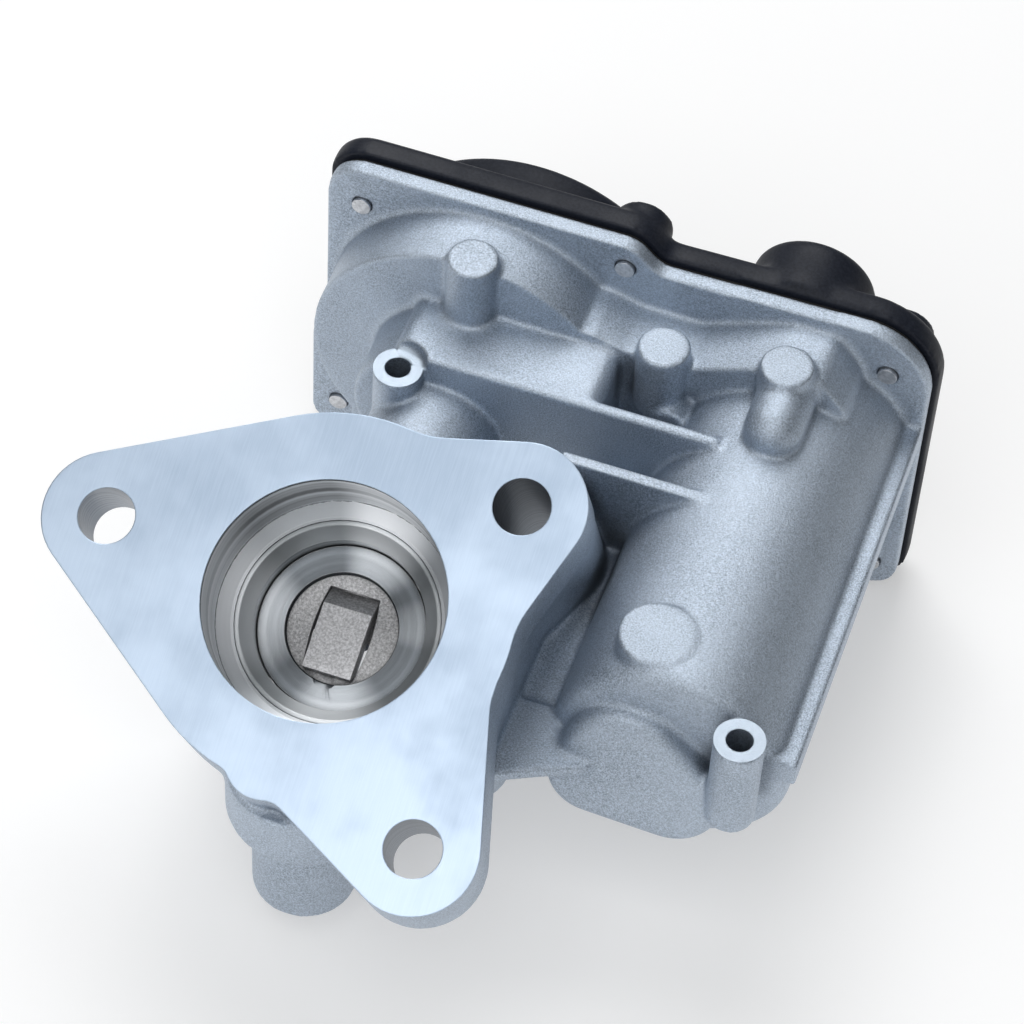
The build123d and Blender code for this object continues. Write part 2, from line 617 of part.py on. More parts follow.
# Shaft with the tang that passes through the disc
with BuildPart() as flap_shaft:
    with BuildSketch(facing(FLAP_Y)):
        with Locations(OUTPUT_AXIS):
            Circle(SHAFT_TIP_R)
    extrude(amount=-SHAFT_TIP_END)
    with BuildSketch(facing(FLAP_Y + SHAFT_TIP_END)):
        with Locations(OUTPUT_AXIS):
            Circle(SHAFT_R)
    extrude(amount=span((FLAP_Y + SHAFT_TIP_END, SHAFT_REAR_Y)))
    with BuildSketch(FLAP.offset(FACE + TANG_PROUD)):
        Circle(DISC_R)
    extrude(amount=DISC_R, mode=Mode.SUBTRACT)
    with BuildSketch(FLAP.offset(-FACE)):
        with Locations((0, (TANG_LOW + TANG_HIGH) / 2)):
            Rectangle(2 * TANG_HALF_WIDTH, TANG_HIGH - TANG_LOW)
    extrude(amount=DISC_THICKNESS + TANG_PROUD)
    # bevel from the ridge down to the tang's upper end, and the round end under the spot's edge
    with BuildSketch(Plane(origin=FLAP.origin - Vector(DISC_R, 0, 0), x_dir=FLAP.y_dir, z_dir=(1, 0, 0))):
        with BuildLine():
            Polyline((TANG_RIDGE, FACE + TANG_PROUD), (TANG_HIGH, FACE + TANG_PROUD - TANG_BEVEL_DROP),
                     (DISC_R, FACE + TANG_PROUD - TANG_BEVEL_DROP), (DISC_R, 8), (TANG_RIDGE, 8), close=True)
        make_face()
    extrude(amount=2 * DISC_R, mode=Mode.SUBTRACT)
    with BuildSketch(FLAP.offset(FACE - SPOT_DEPTH)):
        Circle(DISC_R)
        Circle(SPOT_R - 0.15, mode=Mode.SUBTRACT)
    extrude(amount=SPOT_DEPTH + TANG_PROUD, mode=Mode.SUBTRACT)
flap_shaft.part.label = "flap_shaft"


def ring_along_y(centre, outer_r, inner_r, y_range):
    """Plain ring whose axis is parallel to Y."""
    with BuildPart() as ring:
        with BuildSketch(facing(y_range[0])):
            with Locations(centre):
                Circle(outer_r)
                Circle(inner_r, mode=Mode.SUBTRACT)
        extrude(amount=span(y_range))
    return ring


shaft_front_bush = ring_along_y(OUTPUT_AXIS, BUSH_R, SHAFT_R + FIT, FRONT_BUSH)
shaft_front_bush.part.label = "shaft_front_bush"
shaft_rear_bush = ring_along_y(OUTPUT_AXIS, REAR_BUSH_R, SHAFT_R + FIT, REAR_BUSH)
shaft_rear_bush.part.label = "shaft_rear_bush"

# Lip seal: outer ring, web and a lip running on the shaft
with BuildPart() as shaft_seal:
    with BuildSketch(facing(SEAL_Y[0])):
        with Locations(OUTPUT_AXIS):
            Circle(SEAL_R)
            Circle(SEAL_R - 1.1, mode=Mode.SUBTRACT)
    extrude(amount=span(SEAL_Y))
    with BuildSketch(facing(SEAL_Y[1] - 1.2)):
        with Locations(OUTPUT_AXIS):
            Circle(SEAL_R)
            Circle(SHAFT_R + 0.5, mode=Mode.SUBTRACT)
    extrude(amount=-1.2)
    with BuildSketch(facing(SEAL_Y[0] + 0.8)):
        with Locations(OUTPUT_AXIS):
            Circle(SHAFT_R + 1.0)
            Circle(SHAFT_R + FIT, mode=Mode.SUBTRACT)
    extrude(amount=span((SEAL_Y[0] + 0.8, SEAL_Y[1])))
shaft_seal.part.label = "shaft_seal"

# Toothed output sector with the hub that carries the return spring
SECTOR_BACK = int(FLAP_TRAVEL / 360 * OUTPUT_TEETH) + 4
with BuildPart() as output_gear:
    with BuildSketch(facing(OUTPUT_GEAR_Y[0])):
        with Locations(OUTPUT_AXIS):
            add(gear_outline(OUTPUT_MODULE, OUTPUT_TEETH, -OUTPUT_SHIFT, OUTPUT_TO_PIN, -4, SECTOR_BACK))
            Circle(OUTPUT_ROOT_R - 6)
    extrude(amount=span(OUTPUT_GEAR_Y))
    with BuildSketch(facing(SPRING_POCKET[0] + 0.8)):
        with Locations(OUTPUT_AXIS):
            Circle(GEAR_HUB_R)
    extrude(amount=span((SPRING_POCKET[0] + 0.8, SHAFT_REAR_Y)))
    with BuildSketch(facing(SPRING_POCKET[0])):
        with Locations(OUTPUT_AXIS):
            Circle(SHAFT_R)
    extrude(amount=span((SPRING_POCKET[0], PLATE_REAR_Y)), mode=Mode.SUBTRACT)
    with BuildSketch(facing(OUTPUT_GEAR_Y[0])):
        with Locations(OUTPUT_AXIS):
            for turn in (20, 48, 76):
                with Locations(polar(OUTPUT_ROOT_R - 5.4, OUTPUT_TO_PIN + radians(turn))):
                    Circle(2.6)
    extrude(amount=span(OUTPUT_GEAR_Y), mode=Mode.SUBTRACT)
output_gear.part.label = "output_gear"

# Torsion spring round the hub
with BuildPart() as return_spring:
    with BuildLine() as spring_path:
        Helix(SPRING_PITCH, SPRING_PITCH * SPRING_TURNS, SPRING_MEAN_R,
              center=(0, SPRING_POCKET[0] + SPRING_WIRE_R + SOFT_GAP, SHAFT_Z), direction=(0, 1, 0))
    with BuildSketch(Plane(origin=spring_path.line @ 0, z_dir=spring_path.line % 0)):
        Circle(SPRING_WIRE_R)
    sweep(path=spring_path.line, is_frenet=True)
return_spring.part.label = "return_spring"

# Magnet of the position sensor, on the end of the output hub
sensor_magnet = ring_along_y(OUTPUT_AXIS, 5.5, 1.6, (SHAFT_REAR_Y, 79.8))
sensor_magnet.part.label = "sensor_magnet"

# Intermediate gear: large wheel and small pinion in one piece
with BuildPart() as intermediate_gear:
    with BuildSketch(facing(WHEEL_Y[0])):
        with Locations(PIN_AXIS):
            add(gear_outline(WHEEL_MODULE, WHEEL_TEETH, -WHEEL_SHIFT, PIN_TO_MOTOR))
    extrude(amount=span(WHEEL_Y))
    with BuildSketch(facing(WHEEL_Y[1] - 1.2)):
        with Locations(PIN_AXIS):
            Circle(WHEEL_MODULE * WHEEL_TEETH / 2 - 4)
            Circle(6, mode=Mode.SUBTRACT)
    extrude(amount=-1.2, mode=Mode.SUBTRACT)
    with BuildSketch(facing(SMALL_PINION_Y[0])):
        with Locations(PIN_AXIS):
            add(gear_outline(OUTPUT_MODULE, PINION_TEETH, OUTPUT_SHIFT, OUTPUT_TO_PIN + pi + pi / PINION_TEETH))
    extrude(amount=span((SMALL_PINION_Y[0], WHEEL_Y[0])))
    with BuildSketch(facing(SMALL_PINION_Y[0])):
        with Locations(PIN_AXIS):
            Circle(PIN_R + FIT)
    extrude(amount=span((SMALL_PINION_Y[0], WHEEL_Y[1])), mode=Mode.SUBTRACT)
intermediate_gear.part.label = "intermediate_gear"

PIN_Y = (FLOOR_FRONT_Y - 4, 83.0)
with BuildPart() as intermediate_pin:
    with BuildSketch(facing(PIN_Y[0])):
        with Locations(PIN_AXIS):
            Circle(PIN_R)
    extrude(amount=span(PIN_Y))
intermediate_pin.part.label = "intermediate_pin"

# Motor pinion
with BuildPart() as motor_pinion:
    with BuildSketch(facing(MOTOR_PINION_Y[0])):
        with Locations(MOTOR_AXIS):
            add(gear_outline(WHEEL_MODULE, MOTOR_TEETH, WHEEL_SHIFT, PIN_TO_MOTOR + pi + pi / MOTOR_TEETH))
            Circle(MOTOR_SHAFT_R, mode=Mode.SUBTRACT)
    extrude(amount=span(MOTOR_PINION_Y))
motor_pinion.part.label = "motor_pinion"

with BuildPart() as motor_shaft:
    with BuildSketch(facing(MOTOR_SHAFT_Y[0])):
        with Locations(MOTOR_AXIS):
            Circle(MOTOR_SHAFT_R)
    extrude(amount=span(MOTOR_SHAFT_Y))
motor_shaft.part.label = "motor_shaft"

# Steel motor case, open at the rear, with a nose for the front bearing
MOTOR_INNER_R = MOTOR_CASE_R - MOTOR_CASE_WALL
with BuildPart() as motor_case:
    with BuildSketch(facing(MOTOR_CASE_Y[0])):
        with Locations(MOTOR_AXIS):
            Circle(MOTOR_CASE_R)
    extrude(amount=span(MOTOR_CASE_Y))
    with BuildSketch(facing(MOTOR_NOSE_Y)):
        with Locations(MOTOR_AXIS):
            Circle(MOTOR_NOSE_R)
    extrude(amount=span((MOTOR_NOSE_Y, MOTOR_CASE_Y[0])))
    with BuildSketch(facing(MOTOR_CASE_Y[0] + MOTOR_CASE_WALL)):
        with Locations(MOTOR_AXIS):
            Circle(MOTOR_INNER_R)
    extrude(amount=span((MOTOR_CASE_Y[0] + MOTOR_CASE_WALL, MOTOR_CASE_Y[1])), mode=Mode.SUBTRACT)
    with BuildSketch(facing(MOTOR_NOSE_Y + MOTOR_CASE_WALL - 0.2)):
        with Locations(MOTOR_AXIS):
            Circle(MOTOR_NOSE_R - MOTOR_CASE_WALL)
    extrude(amount=span((MOTOR_NOSE_Y + MOTOR_CASE_WALL - 0.2, 14.0)), mode=Mode.SUBTRACT)
motor_case.part.label = "motor_case"

motor_front_bush = ring_along_y(MOTOR_AXIS, MOTOR_NOSE_R - MOTOR_CASE_WALL, MOTOR_SHAFT_R + FIT,
                                (MOTOR_NOSE_Y + MOTOR_CASE_WALL - 0.2, 12.4))
motor_front_bush.part.label = "motor_front_bush"

# Two magnet shells inside the motor case
with BuildPart() as motor_magnets:
    with BuildSketch(facing(MAGNET_Y[0])):
        with Locations(MOTOR_AXIS):
            Circle(MOTOR_INNER_R)
            Circle(MAGNET_INNER_R, mode=Mode.SUBTRACT)
            Rectangle(2 * CAN_R, 7, mode=Mode.SUBTRACT)
    extrude(amount=span(MAGNET_Y))
motor_magnets.part.label = "motor_magnets"

# Slotted armature core and its windings
with BuildPart() as armature_core:
    with BuildSketch(facing(CORE_Y[0])):
        with Locations(MOTOR_AXIS):
            Circle(CORE_R)
            with PolarLocations(CORE_R - 2.8, CORE_SLOTS):
                SlotCenterToCenter(3.4, 3.2, mode=Mode.SUBTRACT)
            with PolarLocations(CORE_R, CORE_SLOTS):
                Rectangle(3, 1.2, mode=Mode.SUBTRACT)
            Circle(MOTOR_SHAFT_R, mode=Mode.SUBTRACT)
    extrude(amount=span(CORE_Y))
armature_core.part.label = "armature_core"

with BuildPart() as armature_windings:
    with BuildSketch(facing(CORE_Y[0] - 3.5)):
        with Locations(MOTOR_AXIS):
            with PolarLocations(CORE_R - 2.8, CORE_SLOTS):
                SlotCenterToCenter(3.4, 2.8)
    extrude(amount=span((CORE_Y[0] - 3.5, CORE_Y[1] + 3.5)))
    for y_range in ((CORE_Y[0] - 3.5, CORE_Y[0] - 0.1), (CORE_Y[1] + 0.1, CORE_Y[1] + 3.5)):
        with BuildSketch(facing(y_range[0])):
            with Locations(MOTOR_AXIS):
                Circle(CORE_R - 1.3)
                Circle(MOTOR_SHAFT_R + 1.6, mode=Mode.SUBTRACT)
        extrude(amount=span(y_range))
armature_windings.part.label = "armature_windings"

with BuildPart() as commutator:
    with BuildSketch(facing(COMMUTATOR_Y[0])):
        with Locations(MOTOR_AXIS):
            Circle(COMMUTATOR_R)
            Circle(MOTOR_SHAFT_R, mode=Mode.SUBTRACT)
            with PolarLocations(COMMUTATOR_R, CORE_SLOTS):
                Rectangle(2.4, 0.4, mode=Mode.SUBTRACT)
    extrude(amount=span(COMMUTATOR_Y))
commutator.part.label = "commutator"

with BuildPart() as motor_brushes:
    with BuildSketch(facing(COMMUTATOR_Y[0] + 1.2)):
        with Locations((MOTOR_X - 8.1, MOTOR_Z), (MOTOR_X + 8.1, MOTOR_Z)):
            Rectangle(6.6, 3.2)
    extrude(amount=-4.2)
motor_brushes.part.label = "motor_brushes"

# Plastic brush carrier closing the motor case, with the rear bearing
CARRIER_Y = (COMMUTATOR_Y[1] + 0.8, FLOOR_REAR_Y)
with BuildPart() as brush_carrier:
    with BuildSketch(facing(CARRIER_Y[0])):
        with Locations(MOTOR_AXIS):
            Circle(MOTOR_INNER_R - 0.05)
            Circle(3.4, mode=Mode.SUBTRACT)
    extrude(amount=span(CARRIER_Y))
    for side in (-1, 1):
        with BuildSketch(facing(COMMUTATOR_Y[0] + 0.3)):
            with Locations((MOTOR_X + side * 9.4, MOTOR_Z)):
                Rectangle(6.0, 6.0)
                Rectangle(9.0, 3.24, mode=Mode.SUBTRACT)
        extrude(amount=span((COMMUTATOR_Y[0] + 0.3, CARRIER_Y[0])))
brush_carrier.part.label = "brush_carrier"

motor_rear_bush = ring_along_y(MOTOR_AXIS, 3.4, MOTOR_SHAFT_R + FIT, (CARRIER_Y[1] - 5.0, CARRIER_Y[1]))
motor_rear_bush.part.label = "motor_rear_bush"

# Mounting plate of the motor, held by two screws in the case floor
MOUNT_PLATE_Y = (FLOOR_REAR_Y, FLOOR_REAR_Y + 1.4)
with BuildPart() as motor_mount_plate:
    with BuildSketch(facing(MOUNT_PLATE_Y[0])):
        with Locations(MOTOR_AXIS):
            Circle(MOTOR_INNER_R - 0.5)
            for angle in MOTOR_SCREW_ANGLES:
                add(ear_outline(polar(MOTOR_SCREW_PCR, radians(angle)), 3.6, 10.0))
            Circle(4.2, mode=Mode.SUBTRACT)
            for angle in MOTOR_SCREW_ANGLES:
                with Locations(polar(MOTOR_SCREW_PCR, radians(angle))):
                    Circle(SCREW_R + 0.1, mode=Mode.SUBTRACT)
    extrude(amount=span(MOUNT_PLATE_Y))
motor_mount_plate.part.label = "motor_mount_plate"


def screws_along_y(positions, tip_y, seat_y):
    """Pan-head screws entering from +Y, with a hexagonal socket, all in one node."""
    with BuildPart() as screws:
        with BuildSketch(facing(tip_y)):
            with Locations(*positions):
                Circle(SCREW_R)
        extrude(amount=tip_y - seat_y)
        with BuildSketch(facing(seat_y)):
            with Locations(*positions):
                Circle(SCREW_HEAD_R)
        extrude(amount=-SCREW_HEAD_H)
        with BuildSketch(facing(seat_y + SCREW_HEAD_H - 1.4)):
            with Locations(*positions):
                RegularPolygon(1.7, 6)
        extrude(amount=-1.4, mode=Mode.SUBTRACT)
    return screws


MOTOR_SCREWS = [
    (MOTOR_X + MOTOR_SCREW_PCR * cos(radians(angle)), MOTOR_Z + MOTOR_SCREW_PCR * sin(radians(angle)))
    for angle in MOTOR_SCREW_ANGLES
]
motor_screws = screws_along_y(MOTOR_SCREWS, FLOOR_FRONT_Y - 3.0, MOUNT_PLATE_Y[1])
motor_screws.part.label = "motor_screws"

# Gasket between plate and cover
with BuildPart() as cover_gasket:
    with BuildSketch(facing(PLATE_REAR_Y)):
        add(GASKET)
        add(CASE_CAVITY, mode=Mode.SUBTRACT)
        with Locations(*COVER_SCREWS):
            Circle(SCREW_R + 0.2, mode=Mode.SUBTRACT)
    extrude(amount=-GASKET_THICKNESS)
cover_gasket.part.label = "cover_gasket"

# Cover: rim, low roof, a dome over each end of the train, screw bosses and connector shell
with BuildPart() as gear_cover:
    with BuildSketch(facing(COVER_SEAT_Y)):
        add(COVER)
    extrude(amount=-COVER_RIM)
    fillet(gear_cover.faces().sort_by(Axis.Y)[-1].edges(), 1.6)
    for dome in (DOME_GEAR_OUTLINE, DOME_MOTOR_OUTLINE):
        with BuildSketch(facing(COVER_SEAT_Y + 1)):
            add(dome)
        extrude(amount=span((COVER_SEAT_Y + 1, DOME_REAR_Y)))
    fillet(gear_cover.faces().filter_by(Axis.Y).group_by(Axis.Y)[-1].edges(), 1.8)
    with BuildSketch(facing(COVER_SEAT_Y + 1)):
        with Locations(CONNECTOR):
            RectangleRounded(*CONNECTOR_SIZE, 3)
    extrude(amount=span((COVER_SEAT_Y + 1, CONNECTOR_REAR_Y)))
    # inner hollows
    with BuildSketch(facing(COVER_SEAT_Y)):
        add(CASE_CAVITY)
    extrude(amount=COVER_WALL - COVER_RIM, mode=Mode.SUBTRACT)
    for hollow in DOME_HOLLOWS:
        with BuildSketch(facing(COVER_SEAT_Y + 1)):
            add(hollow)
            add(CASE_CAVITY, mode=Mode.INTERSECT)
        extrude(amount=span((COVER_SEAT_Y + 1, DOME_REAR_Y - COVER_WALL)), mode=Mode.SUBTRACT)
    # posts that carry the sensor board
    with BuildSketch(facing(BOARD_Y[1])):
        with Locations(*BOARD_POSTS):
            Circle(2.0)
    extrude(amount=span((BOARD_Y[1], DOME_REAR_Y - 1)))
    # connector mouth
    with BuildSketch(facing(DOME_REAR_Y)):
        with Locations(CONNECTOR):
            RectangleRounded(CONNECTOR_SIZE[0] - 3.6, CONNECTOR_SIZE[1] - 3.6, 1.6)
    extrude(amount=span((DOME_REAR_Y, CONNECTOR_REAR_Y)), mode=Mode.SUBTRACT)
    with BuildSketch(facing(TERMINAL_Y[0])):
        with Locations(CONNECTOR):
            with GridLocations(TERMINAL_PITCH, 1, TERMINAL_COUNT, 1):
                Rectangle(TERMINAL_SIDE, TERMINAL_SIDE)
    extrude(amount=span(TERMINAL_Y), mode=Mode.SUBTRACT)
    # boss that holds the free end of the intermediate pin
    with BuildSketch(facing(81.1)):
        with Locations(PIN_AXIS):
            Circle(4.6)
    extrude(amount=span((81.1, ROOF_Y)))
    with BuildSketch(facing(81.1)):
        with Locations(PIN_AXIS):
            Circle(PIN_R + FIT)
    extrude(amount=span((81.1, PIN_Y[1])), mode=Mode.SUBTRACT)
    # screw bosses and holes
    with BuildSketch(facing(COVER_SEAT_Y)):
        with Locations(*COVER_SCREWS):
            Circle(SCREW_BOSS_R)
    extrude(amount=-COVER_RIM)
    with BuildSketch(facing(COVER_SEAT_Y)):
        with Locations(*COVER_SCREWS):
            Circle(SCREW_R + 0.1)
    extrude(amount=-COVER_RIM - 1, mode=Mode.SUBTRACT)
    # collars round the screw heads
    with BuildSketch(facing(ROOF_Y - COVER_WALL / 2)):
        with Locations(*COVER_SCREWS):
            Circle(SCREW_HEAD_R + SCREW_HEAD_GAP + COLLAR_WALL)
            Circle(SCREW_HEAD_R + SCREW_HEAD_GAP, mode=Mode.SUBTRACT)
    extrude(amount=-COVER_WALL / 2 - SCREW_HEAD_H - COLLAR_PROUD)
    with BuildSketch(facing(ROOF_Y)):
        with Locations(*COVER_SCREWS):
            Circle(SCREW_HEAD_R + SCREW_HEAD_GAP)
    extrude(amount=-DOME_REAR_Y, mode=Mode.SUBTRACT)
gear_cover.part.label = "gear_cover"

cover_screws = screws_along_y(COVER_SCREWS, PLATE_FRONT_Y - SCREW_TIP_PROUD, ROOF_Y)
cover_screws.part.label = "cover_screws"

# Terminals in the connector and the sensor board over the magnet
with BuildPart() as connector_terminals:
    with BuildSketch(facing(TERMINAL_Y[0])):
        with Locations(CONNECTOR):
            with GridLocations(TERMINAL_PITCH, 1, TERMINAL_COUNT, 1):
                Rectangle(TERMINAL_SIDE, TERMINAL_SIDE)
    extrude(amount=span(TERMINAL_Y))
connector_terminals.part.label = "connector_terminals"

with BuildPart() as sensor_board:
    with BuildSketch(facing(BOARD_Y[0])):
        with Locations((OUTPUT_AXIS[0] - 1, OUTPUT_AXIS[1] + 1)):
            RectangleRounded(26, 20, 2)
    extrude(amount=span(BOARD_Y))
    with BuildSketch(facing(BOARD_Y[0] - 1.2)):
        with Locations(OUTPUT_AXIS):
            Rectangle(5, 4)
    extrude(amount=-1.2)
sensor_board.part.label = "sensor_board"

os.makedirs("parts", exist_ok=True)
for piece in (valve_housing, seat_sleeve, flap_disc, flap_seal_ring, flap_shaft, shaft_front_bush,
              shaft_rear_bush, shaft_seal, output_gear, return_spring, sensor_magnet, intermediate_gear,
              intermediate_pin, motor_pinion, motor_shaft, motor_case, motor_front_bush, motor_magnets,
              armature_core, armature_windings, commutator, motor_brushes, brush_carrier, motor_rear_bush,
              motor_mount_plate, motor_screws, cover_gasket, gear_cover, cover_screws, connector_terminals,
              sensor_board):
    export_step(piece.part, f"parts/{piece.part.label}.step")
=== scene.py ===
"""Looks of a flap-type exhaust gas recirculation valve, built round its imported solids.

Lengths are metres in the solids' own frame: the origin is the centre of the inlet bore on the
flange face, +Y runs along the motor and flap axes towards the cover, and +Z is up. The flange
face leans 25 degrees from +Z towards -Y.
"""

import logging
from dataclasses import dataclass, field
from enum import Enum
from math import cos, pi, radians, sin
from typing import Callable, Sequence

import bmesh
import bpy
import numpy as np
from mathutils import Euler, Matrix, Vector


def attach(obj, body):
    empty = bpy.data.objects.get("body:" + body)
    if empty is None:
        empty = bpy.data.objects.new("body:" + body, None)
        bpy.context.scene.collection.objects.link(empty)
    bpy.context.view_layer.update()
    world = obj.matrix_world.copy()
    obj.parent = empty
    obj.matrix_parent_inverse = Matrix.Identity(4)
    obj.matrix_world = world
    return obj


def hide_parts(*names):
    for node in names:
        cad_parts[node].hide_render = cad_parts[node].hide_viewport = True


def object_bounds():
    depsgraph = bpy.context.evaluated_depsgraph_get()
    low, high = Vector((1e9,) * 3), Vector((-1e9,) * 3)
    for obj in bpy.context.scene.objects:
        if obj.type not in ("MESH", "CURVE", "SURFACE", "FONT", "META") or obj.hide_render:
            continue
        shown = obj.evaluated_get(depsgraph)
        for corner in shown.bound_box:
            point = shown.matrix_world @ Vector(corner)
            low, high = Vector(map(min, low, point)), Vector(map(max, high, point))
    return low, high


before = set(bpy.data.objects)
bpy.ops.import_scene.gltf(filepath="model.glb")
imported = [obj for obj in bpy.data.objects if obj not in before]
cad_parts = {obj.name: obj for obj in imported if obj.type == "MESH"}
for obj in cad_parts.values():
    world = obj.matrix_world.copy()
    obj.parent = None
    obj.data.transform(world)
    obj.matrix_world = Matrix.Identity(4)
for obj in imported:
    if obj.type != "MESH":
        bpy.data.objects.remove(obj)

CAD_BOX = [list(corner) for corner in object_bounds()]
LOG = logging.getLogger("valve")

Node = bpy.types.Node
Socket = bpy.types.NodeSocket
Tree = bpy.types.NodeTree
Point = Sequence[float]
Colour = tuple[float, float, float]
PlaceTest = Callable[[np.ndarray], np.ndarray]

MM = 0.001
TILT = radians(25.0)
NORMAL = (0.0, -sin(TILT), cos(TILT))
ACROSS = (0.0, cos(TILT), sin(TILT))
SHAFT_AXIS = (0.0, 0.0, -0.0191231)
MOTOR_AXIS = (0.0548, 0.0, -0.021)
BORE_R = 19.0 * MM
POST_TOP = -5.0 * MM
MERGE_GAP = 1e-6
SHARP_TURN = radians(35.0)
# Millimetres: the bolt holes' places on the flange face, and the posts' places seen from above.
BOLT_HOLES = ((-36.5, 2.8), (24.3, 22.7), (25.2, -32.0))
POSTS = ((66.2, 1.2), (-6.6, 51.2))


class Body(Enum):
    """Rigid bodies of the solids that the new pieces ride on."""

    HOUSING = "housing"
    FLAP = "flap"


class Zone(Enum):
    """Machined places of the casting, as outputs of the zone group."""

    FACE = "Face"
    BORE = "Bore"
    DRILLED = "Drilled"
    POST = "Post"


def on_flange(u: float, w: float) -> Vector:
    """Point at (u, w) millimetres on the flange face, in metres."""
    return Vector((u, 0.0, 0.0)) * MM + Vector(ACROSS) * w * MM


class NodeSketch:
    """A shader node tree with short calls for the nodes and links used here."""

    def __init__(self, tree: Tree) -> None:
        """Keep the tree.

        Args:
            tree: the tree that gets the nodes.
        """
        self.tree = tree

    def node(self, kind: str, **settings: object) -> Node:
        """Add a node.

        Args:
            kind: its type, without the ShaderNode prefix.
            settings: attributes to set on it.

        Returns:
            The new node.
        """
        made = self.tree.nodes.new("ShaderNode" + kind)
        for name, value in settings.items():
            setattr(made, name, value)
        return made

    def feed(self, socket: Socket, value: object) -> None:
        """Link a socket into another one, or set its constant.

        Args:
            socket: the input that is fed.
            value: an output socket, or a number, colour or vector.
        """
        if isinstance(value, Socket):
            self.tree.links.new(value, socket)
        else:
            socket.default_value = value

    def fed(self, made: Node, inputs: Sequence[int | str], values: Sequence[object]) -> Node:
        """Feed several inputs of a node.

        Args:
            made: the node.
            inputs: numbers or names of its inputs.
            values: what each of them gets.

        Returns:
            The node.
        """
        for entry, value in zip(inputs, values):
            self.feed(made.inputs[entry], value)
        return made

    def math(self, operation: str, *values: object) -> Socket:
        """Result of a Math node over sockets or numbers."""
        return self.fed(self.node("Math", operation=operation), range(len(values)), values).outputs[0]

    def product(self, first: object, second: object) -> Socket:
        """Product of two numbers."""
        return self.math("MULTIPLY", first, second)

    def largest(self, first: Socket, *others: Socket) -> Socket:
        """Largest of several numbers.

        Args:
            first: one of them.
            others: the rest.

        Returns:
            The socket with the largest.
        """
        for other in others:
            first = self.math("MAXIMUM", first, other)
        return first

    def vector(self, operation: str, *values: object) -> Node:
        """A Vector Math node over sockets or vectors."""
        return self.fed(self.node("VectorMath", operation=operation), range(len(values)), values)

    def dot(self, first: object, second: object) -> Socket:
        """Dot product of two vectors."""
        return self.vector("DOT_PRODUCT", first, second).outputs["Value"]

    def off_line(self, offset: object, direction: Point) -> Socket:
        """Length of the part of an offset that is square to a unit direction."""
        across = self.vector("CROSS_PRODUCT", offset, direction).outputs[0]
        return self.vector("LENGTH", across).outputs["Value"]

    def from_duct(self, where: Socket) -> tuple[Socket, Socket]:
        """Place as seen from the duct axis.

        Args:
            where: the place.

        Returns:
            Its height over the flange face, and its offset from the axis as a vector.
        """
        height = self.dot(where, NORMAL)
        lift = self.vector("SCALE", NORMAL)
        self.feed(lift.inputs["Scale"], height)
        return height, self.vector("SUBTRACT", where, lift.outputs[0]).outputs[0]

    def ramp(
        self, value: object, low: float, high: float, bottom: float = 0.0, top: float = 1.0
    ) -> Socket:
        """Smooth step of a value.

        Args:
            value: the number that is mapped.
            low: where the step starts.
            high: where it ends; it may be less than low.
            bottom: the result at low.
            top: the result at high.

        Returns:
            The mapped value.
        """
        made = self.node("MapRange", interpolation_type="SMOOTHSTEP")
        names = ("Value", "From Min", "From Max", "To Min", "To Max")
        return self.fed(made, names, (value, low, high, bottom, top)).outputs[0]

    def mix(self, factor: object, first: object, second: object) -> Socket:
        """Colour mix.

        Args:
            factor: share of the second colour.
            first: colour or socket.
            second: colour or socket.

        Returns:
            The mixed colour.
        """
        colours = [one if isinstance(one, Socket) else (*one, 1.0) for one in (first, second)]
        return self.fed(self.node("Mix", data_type="RGBA"), ("Factor", 6, 7), (factor, *colours)).outputs[2]

    def blend(self, factor: object, first: object, second: object) -> Socket:
        """Number mix, by the share of the second one."""
        return self.fed(self.node("Mix", data_type="FLOAT"), (0, 2, 3), (factor, first, second)).outputs[0]

    def noise(self, where: object, scale: object, detail: float = 3.0, rough: float = 0.55) -> Socket:
        """Noise at a place.

        Args:
            where: the place.
            scale: waves per metre.
            detail: number of finer layers.
            rough: strength of each layer against the one before.

        Returns:
            A value round 0.5.
        """
        made = self.node("TexNoise", noise_dimensions="3D")
        names = ("Vector", "Scale", "Detail", "Roughness")
        return self.fed(made, names, (where, scale, detail, rough)).outputs[0]

    def place(self) -> Socket:
        """Object coordinates."""
        return self.node("TexCoord").outputs["Object"]

    def group(self, tree: Tree, **values: object) -> Node:
        """A shared group with its named inputs set."""
        return self.fed(self.node("Group", node_tree=tree), tuple(values), tuple(values.values()))


